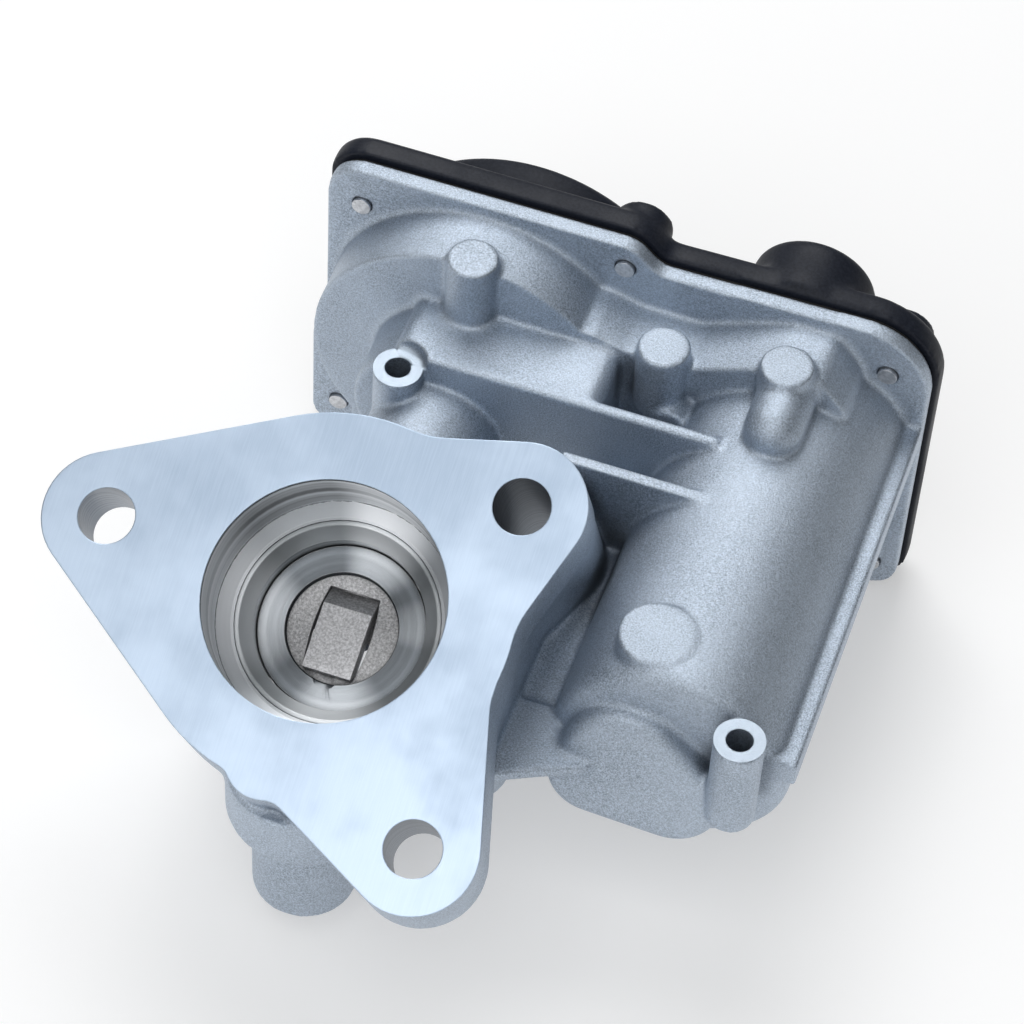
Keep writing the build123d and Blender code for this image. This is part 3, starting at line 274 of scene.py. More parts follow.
class SharedGroups:
    """Shader groups that several finishes use, each built once.

    A band holds the two measures between which a mask rises from nothing to all. A mill pass
    holds its direction in radians and how much narrower its marks are than long. A sheen lobe
    holds its direction round the duct axis in degrees, the cosine at which it starts, and its
    strength.
    """

    FACE_BAND = (-0.35 * MM, -0.12 * MM)
    BORE_BAND = (BORE_R + 0.25 * MM, BORE_R + 0.1 * MM)
    BORE_FLOOR_BAND = (-16.0 * MM, -15.5 * MM)
    DRILLED_BAND = (5.1 * MM, 4.8 * MM)
    POST_BAND = (4.6 * MM, 4.4 * MM)
    POST_FLOOR_BAND = (POST_TOP - 0.5 * MM, POST_TOP - 0.2 * MM)
    POST_CEILING_BAND = (POST_TOP + 0.3 * MM, POST_TOP + 0.1 * MM)
    CREASE_REACH = 4.0 * MM
    MILL_PASSES = ((0.5, 26.0), (-1.0, 40.0))
    SHEEN_LOBES = ((190.0, 0.72, 1.0), (78.0, 0.86, 0.9), (285.0, 0.8, 0.8), (20.0, 0.93, 0.5))

    def __init__(self) -> None:
        """Build every group."""
        self.grain = self._grain()
        # Edges for edge wear and painted highlights, and creases for painted shade.
        self.wear = self._edge_wear_and_shade()
        self.turning = self._turning()
        self.milling = self._milling()
        self.zones = self._zones()
        self.sheen = self._sheen()

    def _begin(
        self, name: str, inputs: dict[str, float], outputs: Sequence[str]
    ) -> tuple[Tree, NodeSketch, Node, Node]:
        """Make an empty group.

        Args:
            name: the group's name.
            inputs: its number inputs with their defaults.
            outputs: its number outputs.

        Returns:
            The tree, a sketch of it, and its input and output nodes.
        """
        tree = bpy.data.node_groups.new(name, "ShaderNodeTree")
        for label, value in inputs.items():
            socket = tree.interface.new_socket(label, in_out="INPUT", socket_type="NodeSocketFloat")
            socket.default_value = value
        for label in outputs:
            tree.interface.new_socket(label, in_out="OUTPUT", socket_type="NodeSocketFloat")
        given, out = tree.nodes.new("NodeGroupInput"), tree.nodes.new("NodeGroupOutput")
        return tree, NodeSketch(tree), given, out

    def _grain(self) -> Tree:
        """Blasted or moulded grain: Tone and Height from fine noise, Sparkle from its peaks."""
        tree, make, given, out = self._begin(
            "Grain", {"Scale": 2200.0}, ("Tone", "Height", "Sparkle", "Patch")
        )
        where = make.place()
        scale = given.outputs["Scale"]
        fine = make.noise(where, scale, detail=4.0, rough=0.7)
        coarse = make.noise(where, make.product(scale, 0.31), detail=3.0, rough=0.6)
        spark = make.noise(where, make.product(scale, 1.3), detail=1.0, rough=0.5)
        patch = make.noise(where, 55.0, detail=4.0, rough=0.6)
        relief = make.math("ADD", make.product(fine, 0.65), make.product(coarse, 0.35))
        make.feed(out.inputs["Tone"], make.ramp(fine, 0.32, 0.68))
        make.feed(out.inputs["Height"], relief)
        make.feed(out.inputs["Sparkle"], make.ramp(spark, 0.62, 0.80))
        make.feed(out.inputs["Patch"], make.ramp(patch, 0.35, 0.65))
        return tree

    def _edge_wear_and_shade(self) -> Tree:
        """Edge: how far a rounded normal turns away from the true one, broken up by noise.

        Crease: how much of the sky near by is hidden; it drives painted shade in corners and creases.
        """
        tree, make, given, out = self._begin("Edge Wear and Crease Shade", {"Radius": 0.0005}, ("Edge", "Crease"))
        rounded = make.node("Bevel", samples=4)
        make.feed(rounded.inputs["Radius"], given.outputs["Radius"])
        same = make.dot(rounded.outputs[0], make.node("NewGeometry").outputs["Normal"])
        ragged = make.product(make.math("SUBTRACT", make.noise(make.place(), 900.0), 0.5), 0.05)
        turned_away = make.math("ADD", make.math("SUBTRACT", 1.0, same), ragged)
        make.feed(out.inputs["Edge"], make.ramp(turned_away, 0.02, 0.12))
        open_sky = make.node("AmbientOcclusion", samples=6)
        open_sky.inputs["Distance"].default_value = self.CREASE_REACH
        make.feed(out.inputs["Crease"], make.ramp(open_sky.outputs["AO"], 0.75, 0.3))
        return tree

    def _turning(self) -> Tree:
        """Rings cut by a tool round the duct axis: Height and Tone over the distance from it."""
        tree, make, given, out = self._begin(
            "Turning Marks", {"Pitch": 0.00022}, ("Height", "Tone", "Streak")
        )
        along, aside = make.from_duct(make.place())
        radius = make.vector("LENGTH", aside).outputs["Value"]
        path = make.math("SUBTRACT", radius, along)
        turns = make.math("DIVIDE", path, given.outputs["Pitch"])
        wave = make.math("SINE", make.product(turns, 2 * pi))
        rings = make.node("CombineXYZ")
        make.feed(rings.inputs[0], path)
        streak = make.noise(rings.outputs[0], 1600.0, detail=2.0, rough=0.6)
        broad = make.noise(rings.outputs[0], 420.0, detail=1.0, rough=0.5)
        make.feed(out.inputs["Height"], make.math("ADD", make.product(wave, 0.25), streak))
        make.feed(out.inputs["Tone"], make.ramp(streak, 0.3, 0.7))
        make.feed(out.inputs["Streak"], make.ramp(broad, 0.35, 0.65))
        return tree

    def _milling(self) -> Tree:
        """Faint straight marks at two angles and cloudy patches left by a face mill and by handling."""
        tree, make, _, out = self._begin("Milling Marks", {}, ("Height", "Tone", "Cloud"))
        where = make.place()
        marks = []
        for turn, stretch in self.MILL_PASSES:
            mapping = make.node("Mapping")
            make.feed(mapping.inputs["Vector"], where)
            mapping.inputs["Rotation"].default_value = (0.0, 0.0, turn)
            mapping.inputs["Scale"].default_value = (stretch, 1.0, 1.0)
            marks.append(make.noise(mapping.outputs[0], 130.0, detail=5.0, rough=0.7))
        cloud = make.noise(where, 38.0, detail=4.0, rough=0.62)
        make.feed(out.inputs["Height"], make.product(*marks))
        make.feed(out.inputs["Tone"], make.ramp(marks[1], 0.35, 0.65))
        make.feed(out.inputs["Cloud"], make.ramp(cloud, 0.36, 0.66))
        return tree

    def _sheen(self) -> Tree:
        """Lobes: bands round the duct axis where a sheen of the turned rings is painted, from the place's
        direction.
        """
        tree, make, _, out = self._begin("Sheen Lobes", {}, ("Lobes",))
        aside = make.vector("NORMALIZE", make.from_duct(make.place())[1]).outputs[0]
        lobes = []
        for angle, start, strength in self.SHEEN_LOBES:
            ray = cos(radians(angle)) * Vector((1.0, 0.0, 0.0)) + sin(radians(angle)) * Vector(ACROSS)
            lobes.append(make.ramp(make.dot(aside, tuple(ray)), start, 1.0, 0.0, strength))
        make.feed(out.inputs["Lobes"], make.largest(*lobes))
        return tree

    def _zones(self) -> Tree:
        """Masks of the casting's machined places, from distances to their planes and axes."""
        tree, make, _, out = self._begin("Machined Zones", {}, [zone.value for zone in Zone])
        where = make.place()

        def from_axis(origin: Point, direction: Point) -> Socket:
            """Distance from the line through origin along direction."""
            return make.off_line(make.vector("SUBTRACT", where, tuple(origin)).outputs[0], direction)

        height = make.dot(where, NORMAL)
        level = make.dot(where, (0.0, 0.0, 1.0))
        near_bore = make.ramp(from_axis((0, 0, 0), NORMAL), *self.BORE_BAND)
        drilled = [make.ramp(from_axis(on_flange(u, w), NORMAL), *self.DRILLED_BAND) for u, w in BOLT_HOLES]
        posts = [make.ramp(from_axis((x * MM, y * MM, 0), (0, 0, 1)), *self.POST_BAND) for x, y in POSTS]
        post_top = make.product(
            make.ramp(level, *self.POST_FLOOR_BAND), make.ramp(level, *self.POST_CEILING_BAND)
        )
        masks = {
            Zone.FACE: make.ramp(height, *self.FACE_BAND),
            Zone.BORE: make.product(near_bore, make.ramp(height, *self.BORE_FLOOR_BAND)),
            Zone.DRILLED: make.largest(*drilled),
            Zone.POST: make.product(make.largest(*posts), post_top),
        }
        for zone, mask in masks.items():
            make.feed(out.inputs[zone.value], mask)
        return tree


@dataclass(frozen=True)
class Finish:
    """Base of the finishes: a named material with a Principled shader."""

    name: str

    def make(self, groups: SharedGroups) -> bpy.types.Material:
        """Build the material.

        Args:
            groups: the shared shader groups.

        Returns:
            The material.
        """
        material = bpy.data.materials.new(self.name)
        material.use_nodes = True
        material.node_tree.nodes.clear()
        sketch = NodeSketch(material.node_tree)
        shader = sketch.node("BsdfPrincipled")
        sketch.feed(sketch.node("OutputMaterial").inputs["Surface"], shader.outputs[0])
        self.paint(sketch, shader, groups)
        return material

    def paint(self, make: NodeSketch, shader: Node, groups: SharedGroups) -> None:
        """Feed the shader; each finish has its own way.

        Args:
            make: sketch of the material.
            shader: its Principled node.
            groups: the shared shader groups.
        """
        raise NotImplementedError

    def emboss(
        self, make: NodeSketch, shader: Node, height: Socket, distance: float, radius: float = 0.0
    ) -> None:
        """Feed the shader's normal from a height, on top of rounded edges.

        Args:
            make: sketch of the material.
            shader: its Principled node.
            height: the height field.
            distance: the relief of the height field, in metres.
            radius: edge rounding, in metres; none where 0.
        """
        bump = make.node("Bump")
        bump.inputs["Distance"].default_value = distance
        make.feed(bump.inputs["Height"], height)
        if radius:
            rounded = make.node("Bevel", samples=6)
            rounded.inputs["Radius"].default_value = radius
            make.feed(bump.inputs["Normal"], rounded.outputs[0])
        make.feed(shader.inputs["Normal"], bump.outputs[0])


@dataclass(frozen=True)
class BlastedCasting(Finish):
    """Shot-blasted aluminium, with its machined places bright.

    Pairs of gloss values are for the dark and the light end of their pattern.
    """

    dark: Colour = (0.255, 0.3, 0.36)
    light: Colour = (0.62, 0.7, 0.8)
    sparkle: Colour = (0.82, 0.87, 0.92)
    edge_wear_and_highlight: Colour = (0.74, 0.8, 0.87)
    crease_shade: Colour = (0.05, 0.06, 0.08)
    face: Colour = (0.5, 0.6, 0.73)
    face_cloud: Colour = (0.41, 0.505, 0.63)
    face_mark: Colour = (0.6, 0.7, 0.82)
    bore: Colour = (0.3, 0.315, 0.33)
    bore_streak: Colour = (0.5, 0.515, 0.53)
    drilled: Colour = (0.2, 0.22, 0.25)
    drilled_mark: Colour = (0.36, 0.39, 0.43)
    post: Colour = (0.46, 0.53, 0.61)
    cast_rough: tuple[float, float] = (0.46, 0.56)
    face_rough: tuple[float, float] = (0.36, 0.46)
    bore_rough: tuple[float, float] = (0.2, 0.32)
    drilled_rough: float = 0.36
    post_rough: float = 0.34
    metal: float = 0.92
    relief: float = 0.16 * MM
    machined_relief: float = 0.06
    edge_radius: float = 0.0

    def paint(self, make: NodeSketch, shader: Node, groups: SharedGroups) -> None:
        """Mix the cast and the machined looks by the zone masks.

        Args:
            make: sketch of the material.
            shader: its Principled node.
            groups: the shared shader groups.
        """
        grain = make.group(groups.grain, Scale=3600.0).outputs
        zones = make.group(groups.zones).outputs
        mill = make.group(groups.milling).outputs
        turned = make.group(groups.turning).outputs
        wear_and_shade = make.group(groups.wear, Radius=0.0007).outputs
        on_face, on_bore = zones[Zone.FACE.value], zones[Zone.BORE.value]
        on_drilled, on_post = zones[Zone.DRILLED.value], zones[Zone.POST.value]
        cast = make.mix(grain["Tone"], self.dark, self.light)
        cast = make.mix(make.product(grain["Patch"], 0.35), cast, self.light)
        cast = make.mix(make.product(grain["Sparkle"], 0.7), cast, self.sparkle)
        # Lighter edges: edge wear and a painted highlight.
        cast = make.mix(make.product(wear_and_shade["Edge"], 0.5), cast, self.edge_wear_and_highlight)
        # Painted shade: darker in corners and creases, where the sky is hidden.
        cast = make.mix(make.product(wear_and_shade["Crease"], 0.75), cast, self.crease_shade)
        face = make.mix(mill["Cloud"], self.face, self.face_cloud)
        face = make.mix(make.product(mill["Tone"], 0.25), face, self.face_mark)
        bore = make.mix(turned["Streak"], self.bore, self.bore_streak)
        drilled = make.mix(turned["Tone"], self.drilled, self.drilled_mark)
        colour, rough = cast, make.blend(grain["Tone"], *self.cast_rough)
        for mask, paint, gloss in (
            (on_drilled, drilled, self.drilled_rough),
            (on_bore, bore, make.blend(turned["Tone"], *self.bore_rough)),
            (on_post, self.post, self.post_rough),
            (on_face, face, make.blend(mill["Cloud"], *self.face_rough)),
        ):
            colour = make.mix(mask, colour, paint)
            rough = make.blend(mask, rough, gloss)
        make.feed(shader.inputs["Base Color"], colour)
        make.feed(shader.inputs["Roughness"], rough)
        shader.inputs["Metallic"].default_value = self.metal
        cut = make.product(make.blend(on_face, turned["Height"], mill["Height"]), self.machined_relief)
        height = make.blend(make.largest(on_face, on_bore, on_drilled), grain["Height"], cut)
        self.emboss(make, shader, height, self.relief, self.edge_radius)


@dataclass(frozen=True)
class TurnedSteel(Finish):
    """Metal turned round the duct axis, with a rough cast middle if it has a radius."""

    dark: Colour
    light: Colour
    rough: float
    stretch: float
    middle_r: float = 0.0
    edge_wear_and_highlight: Colour = (0.82, 0.83, 0.84)
    crease_shade: Colour = (0.02, 0.022, 0.026)
    middle_dark: Colour = (0.4, 0.4, 0.41)
    middle_light: Colour = (0.78, 0.78, 0.79)
    middle_sparkle: Colour = (0.9, 0.9, 0.91)
    middle_rim_shade: Colour = (0.05, 0.055, 0.06)
    middle_rough: float = 0.52
    shade: float = 0.36

    def paint(self, make: NodeSketch, shader: Node, groups: SharedGroups) -> None:
        """Ring marks and a painted sheen over the whole, grain over the middle.

        Args:
            make: sketch of the material.
            shader: its Principled node.
            groups: the shared shader groups.
        """
        turned = make.group(groups.turning, Pitch=0.0002).outputs
        wear_and_shade = make.group(groups.wear, Radius=0.0003).outputs
        # Painted sheen: bright lobes round the axis over a shaded copy of the colour.
        unlit = tuple(self.shade * part for part in self.dark)
        dim = make.mix(turned["Streak"], unlit, self.dark)
        colour = make.mix(turned["Streak"], self.dark, self.light)
        colour = make.mix(make.product(turned["Tone"], 0.4), colour, self.light)
        colour = make.mix(make.group(groups.sheen).outputs["Lobes"], dim, colour)
        # Lighter edges: a painted highlight, with some edge wear.
        colour = make.mix(make.product(wear_and_shade["Edge"], 0.7), colour, self.edge_wear_and_highlight)
        rough = make.blend(turned["Tone"], self.rough, self.rough + 0.12)
        height = make.product(turned["Height"], 0.12)
        if self.middle_r:
            grain = make.group(groups.grain, Scale=2600.0).outputs
            radius = make.off_line(make.place(), NORMAL)
            middle = make.ramp(radius, self.middle_r, self.middle_r - 0.15 * MM)
            cast = make.mix(grain["Tone"], self.middle_dark, self.middle_light)
            cast = make.mix(grain["Sparkle"], cast, self.middle_sparkle)
            from_rim = make.math("ABSOLUTE", make.math("SUBTRACT", radius, self.middle_r))
            colour = make.mix(middle, colour, cast)
            # Painted shade: a dark ring along the step round the sunk middle.
            colour = make.mix(make.ramp(from_rim, 0.22 * MM, 0.06 * MM), colour, self.middle_rim_shade)
            rough = make.blend(middle, rough, self.middle_rough)
            height = make.blend(middle, height, grain["Height"])
        # Painted shade: darker in corners and creases, where the sky is hidden.
        colour = make.mix(make.product(wear_and_shade["Crease"], 0.8), colour, self.crease_shade)
        make.feed(shader.inputs["Base Color"], colour)
        make.feed(shader.inputs["Roughness"], rough)
        shader.inputs["Metallic"].default_value = 1.0
        self._stretch_gloss(make, shader)
        self.emboss(make, shader, height, 0.1 * MM, 0.2 * MM)

    def _stretch_gloss(self, make: NodeSketch, shader: Node) -> None:
        """Stretch the highlights across the turned rings, whose direction is normal cross place.

        Args:
            make: sketch of the material.
            shader: its Principled node.
        """
        shader.inputs["Anisotropic"].default_value = self.stretch
        shader.inputs["Anisotropic Rotation"].default_value = 0.25
        ring = make.node("VectorTransform", vector_type="VECTOR", convert_from="OBJECT", convert_to="WORLD")
        make.feed(ring.inputs[0], make.vector("CROSS_PRODUCT", NORMAL, make.place()).outputs[0])
        make.feed(shader.inputs["Tangent"], make.vector("NORMALIZE", ring.outputs[0]).outputs[0])


@dataclass(frozen=True)
class MouldedPlastic(Finish):
    """Moulded plastic with a fine grain, a little dust and scuffed edges."""

    colour: Colour
    wear_and_shade: Colour
    rough: float
    shine: float = 0.5
    scale: float = 1800.0

    def paint(self, make: NodeSketch, shader: Node, groups: SharedGroups) -> None:
        """Grain in the relief, patches in the gloss.

        Args:
            make: sketch of the material.
            shader: its Principled node.
            groups: the shared shader groups.
        """
        grain = make.group(groups.grain, Scale=self.scale).outputs
        edge = make.group(groups.wear, Radius=0.0006).outputs["Edge"]
        colour = make.mix(make.product(grain["Tone"], 0.35), self.colour, self.wear_and_shade)
        colour = make.mix(make.product(edge, 0.4), colour, self.wear_and_shade)
        make.feed(shader.inputs["Base Color"], colour)
        make.feed(shader.inputs["Roughness"], make.blend(grain["Patch"], self.rough, self.rough + 0.14))
        shader.inputs["Specular IOR Level"].default_value = self.shine
        self.emboss(make, shader, grain["Height"], 0.05 * MM, 0.35 * MM)


@dataclass(frozen=True)
class PlainMetal(Finish):
    """Plated, drawn or sintered metal with fine grain and brighter edges."""

    dark: Colour
    light: Colour
    rough: float = 0.34
    scale: float = 1500.0

    def paint(self, make: NodeSketch, shader: Node, groups: SharedGroups) -> None:
        """Tone and gloss by the grain, edges brighter.

        Args:
            make: sketch of the material.
            shader: its Principled node.
            groups: the shared shader groups.
        """
        grain = make.group(groups.grain, Scale=self.scale).outputs
        edge = make.group(groups.wear, Radius=0.0003).outputs["Edge"]
        colour = make.mix(grain["Tone"], self.dark, self.light)
        colour = make.mix(make.product(edge, 0.5), colour, self.light)
        make.feed(shader.inputs["Base Color"], colour)
        make.feed(shader.inputs["Roughness"], make.blend(grain["Patch"], self.rough, self.rough + 0.15))
        shader.inputs["Metallic"].default_value = 1.0
        self.emboss(make, shader, grain["Height"], 0.04 * MM, 0.2 * MM)


class FinishRack:
    """Every finish of the valve, made once and handed out by name."""

    def __init__(self) -> None:
        """Build the shared groups and the materials."""
        groups = SharedGroups()
        kinds: list[Finish] = [
            BlastedCasting("cast aluminium"),
            BlastedCasting("machined aluminium", edge_radius=0.3 * MM),
            TurnedSteel("turned aluminium", (0.62, 0.65, 0.68), (0.95, 0.97, 1.0), 0.44, 0.9),
            TurnedSteel("sleeve steel", (0.5, 0.53, 0.55), (0.86, 0.88, 0.9), 0.38, 0.85),
            TurnedSteel("disc steel", (0.26, 0.285, 0.31), (0.66, 0.69, 0.72), 0.34, 0.96, 8.95 * MM),
            PlainMetal("tang steel", (0.4, 0.4, 0.41), (0.72, 0.72, 0.735), 0.5, 2600.0),
            MouldedPlastic("cover plastic", (0.006, 0.008, 0.015), (0.03, 0.036, 0.052), 0.46, 0.25),
            MouldedPlastic("gear plastic", (0.5, 0.48, 0.42), (0.68, 0.66, 0.6), 0.5),
            MouldedPlastic("rubber", (0.02, 0.02, 0.02), (0.05, 0.05, 0.05), 0.7, scale=900.0),
            MouldedPlastic("board laminate", (0.03, 0.14, 0.07), (0.08, 0.26, 0.14), 0.3, scale=700.0),
            PlainMetal("plated steel", (0.5, 0.51, 0.53), (0.74, 0.75, 0.77)),
            PlainMetal("spring steel", (0.2, 0.2, 0.22), (0.42, 0.42, 0.44)),
            PlainMetal("bronze", (0.42, 0.29, 0.14), (0.66, 0.5, 0.3), 0.45),
            PlainMetal("copper", (0.6, 0.27, 0.15), (0.82, 0.47, 0.31), 0.3),
            PlainMetal("ferrite", (0.07, 0.07, 0.075), (0.17, 0.17, 0.18), 0.6),
            PlainMetal("tin", (0.62, 0.61, 0.57), (0.83, 0.82, 0.79), 0.25),
        ]
        self.materials = {finish.name: finish.make(groups) for finish in kinds}

    def dress(self, piece: bpy.types.Object, name: str) -> None:
        """Give a piece one finish.

        Args:
            piece: the object.
            name: the finish's name.
        """
        if not piece.data.materials:
            piece.data.materials.append(self.materials[name])
        for slot in piece.material_slots:
            slot.material = self.materials[name]


def link_mesh(name: str, mesh: bpy.types.Mesh) -> bpy.types.Object:
    """Put a mesh in the scene.

    Args:
        name: the object's name.
        mesh: its mesh, with its place in it.

    Returns:
        The object, at the origin.
    """
    piece = bpy.data.objects.new(name, mesh)
    bpy.context.scene.collection.objects.link(piece)
    return piece


def merged_copy(node: str, name: str) -> bpy.types.Object:
    """Copy a solid's mesh with its points merged and its soft edges smooth.

    Args:
        node: the solid's node name.
        name: the new piece's name.

    Returns:
        The new object.
    """
    shape = bmesh.new()
    shape.from_mesh(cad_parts[node].data)
    bmesh.ops.remove_doubles(shape, verts=shape.verts, dist=MERGE_GAP)
    for edge in shape.edges:
        edge.smooth = len(edge.link_faces) == 2 and edge.calc_face_angle(pi) < SHARP_TURN
    for face in shape.faces:
        face.smooth = True
        face.material_index = 0
    mesh = bpy.data.meshes.new(name)
    shape.to_mesh(mesh)
    shape.free()
    piece = link_mesh(name, mesh)
    flat = piece.modifiers.new("flat faces", "WEIGHTED_NORMAL")
    flat.keep_sharp = True
    flat.weight = 90
    return piece


def hand_over(piece: bpy.types.Object, body: Body, slot: str, *nodes: str) -> None:
    """Ride a piece on a body and let it stand for its solids.

    Args:
        piece: the new piece.
        body: the body that it moves with.
        slot: the record's material slot; not used.
        nodes: the solids it replaces.
    """
    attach(piece, body.value)
    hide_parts(*nodes)
    LOG.info("%s: %d faces, for %s", piece.name, len(piece.data.polygons), ", ".join(nodes))


def from_duct(points: np.ndarray) -> tuple[np.ndarray, np.ndarray]:
    """Places as seen from the duct axis.

    Args:
        points: places in millimetres, one per row.

    Returns:
        Their heights over the flange face and their distances from the axis.
    """
    height = points @ np.array(NORMAL)
    return height, np.linalg.norm(points - height[:, None] * np.array(NORMAL), axis=1)


def from_bolts(points: np.ndarray) -> np.ndarray:
    """Distance of places in millimetres from the nearest bolt hole's axis."""
    gaps = [from_duct(points - np.array((u, w * cos(TILT), w * sin(TILT))))[1] for u, w in BOLT_HOLES]
    return np.min(gaps, axis=0)


def from_posts(points: np.ndarray) -> np.ndarray:
    """Distance of places in millimetres from the nearest post's axis."""
    return np.min([np.hypot(points[:, 0] - x, points[:, 1] - y) for x, y in POSTS], axis=0)


def smooth_step(value: np.ndarray, low: float, high: float) -> np.ndarray:
    """Cubic step from 0 at low to 1 at high."""
    share = np.clip((value - low) / (high - low), 0.0, 1.0)
    return share * share * (3.0 - 2.0 * share)


def any_of(share: np.ndarray, *places: np.ndarray) -> np.ndarray:
    """Raise a share to 1 at all of the named places.

    Args:
        share: a number from 0 to 1 for each point.
        places: for each place, whether each point is in it.

    Returns:
        The raised share.
    """
    for place in places:
        share = np.maximum(share, place)
    return share


@dataclass
class SoftenedSkin:
    """A solid's skin rebuilt as an even mesh, its edges melted into cast fillets and rounds.

    The skin is sampled on a cubic grid of the given pitch. Then each point moves, once a pass,
    by half the way to the mean of its neighbours. The spread of n passes is the pitch times the
    root of n over 4, so rounds follow from the number of passes that the place allows. On
    outward edges a point goes only a share of that way, so hollows fill more than edges wear.
    """

    node: str
    name: str
    pitch: float
    passes_at: Callable[[np.ndarray, np.ndarray], np.ndarray]
    sink_at: PlaceTest
    triangles: int = 190_000
    edge_share: float = 0.2
    even_passes: int = 5
    passes_a_look: int = 8
    bend_passes: int = 3
    edge_bend: float = -0.012
    hollow_bend: float = 0.002

    def build(self) -> bpy.types.Object:
        """Make the softened piece.

        Returns:
            The new object, at the origin.
        """
        body = merged_copy(self.node, self.name)
        body.modifiers.clear()
        remesh = body.modifiers.new("even skin", "REMESH")
        remesh.mode = "VOXEL"
        remesh.voxel_size = self.pitch
        self._apply(body)
        self._melt(body.data)
        thin = body.modifiers.new("thin", "DECIMATE")
        thin.ratio = min(1.0, self.triangles / (2.0 * len(body.data.polygons)))
        self._apply(body)
        body.data.polygons.foreach_set("use_smooth", np.ones(len(body.data.polygons), dtype=bool))
        even = body.modifiers.new("even shading", "WEIGHTED_NORMAL")
        even.weight = 60
        return body

    def _apply(self, body: bpy.types.Object) -> None:
        """Bake the object's modifiers into its mesh.

        Args:
            body: the object.
        """
        shaped = body.evaluated_get(bpy.context.evaluated_depsgraph_get())
        mesh = bpy.data.meshes.new_from_object(shaped)
        old = body.data
        body.modifiers.clear()
        body.data = mesh
        bpy.data.meshes.remove(old)

    def _melt(self, mesh: bpy.types.Mesh) -> None:
        """Move the points towards their neighbours' mean, as many passes as each place allows.

        Args:
            mesh: the even skin, changed in place.
        """
        count = len(mesh.vertices)
        points = np.empty(count * 3)
        normals = np.empty(count * 3, dtype=np.float32)
        pairs = np.empty(len(mesh.edges) * 2, dtype=np.int32)
        mesh.vertices.foreach_get("co", points)
        mesh.vertex_normals.foreach_get("vector", normals)
        mesh.edges.foreach_get("vertices", pairs)
        points = points.reshape(-1, 3)
        first, second = pairs.reshape(-1, 2).T
        ends = np.concatenate((first, second))
        others = np.concatenate((second, first))
        degree = np.bincount(ends, minlength=count)[:, None]
        allowed = self.passes_at(points / MM, normals.reshape(-1, 3))[:, None]
        share = np.ones((count, 1))

        def mean_of(values: np.ndarray) -> np.ndarray:
            """Mean of the neighbours' values, column by column."""
            sums = [np.bincount(ends, weights=column[others], minlength=count) for column in values.T]
            return np.stack(sums, axis=1) / degree

        def put_back() -> None:
            """Write the points to the mesh and read its normals again."""
            mesh.vertices.foreach_set("co", points.ravel())
            mesh.update()
            mesh.vertex_normals.foreach_get("vector", normals)

        for turn in range(int(np.ceil(allowed.max()))):
            if turn >= self.even_passes and (turn - self.even_passes) % self.passes_a_look == 0:
                put_back()
                bend = np.sum((mean_of(points) - points) * normals.reshape(-1, 3), axis=1, keepdims=True)
                for _ in range(self.bend_passes):
                    bend = mean_of(bend)
                hollow = smooth_step(bend / self.pitch, self.edge_bend, self.hollow_bend)
                share = self.edge_share + (1.0 - self.edge_share) * hollow
            points += np.clip(allowed - turn, 0.0, 1.0) * share * 0.5 * (mean_of(points) - points)
        put_back()
        points -= self.sink_at(points / MM)[:, None] * MM * normals.reshape(-1, 3)
        put_back()


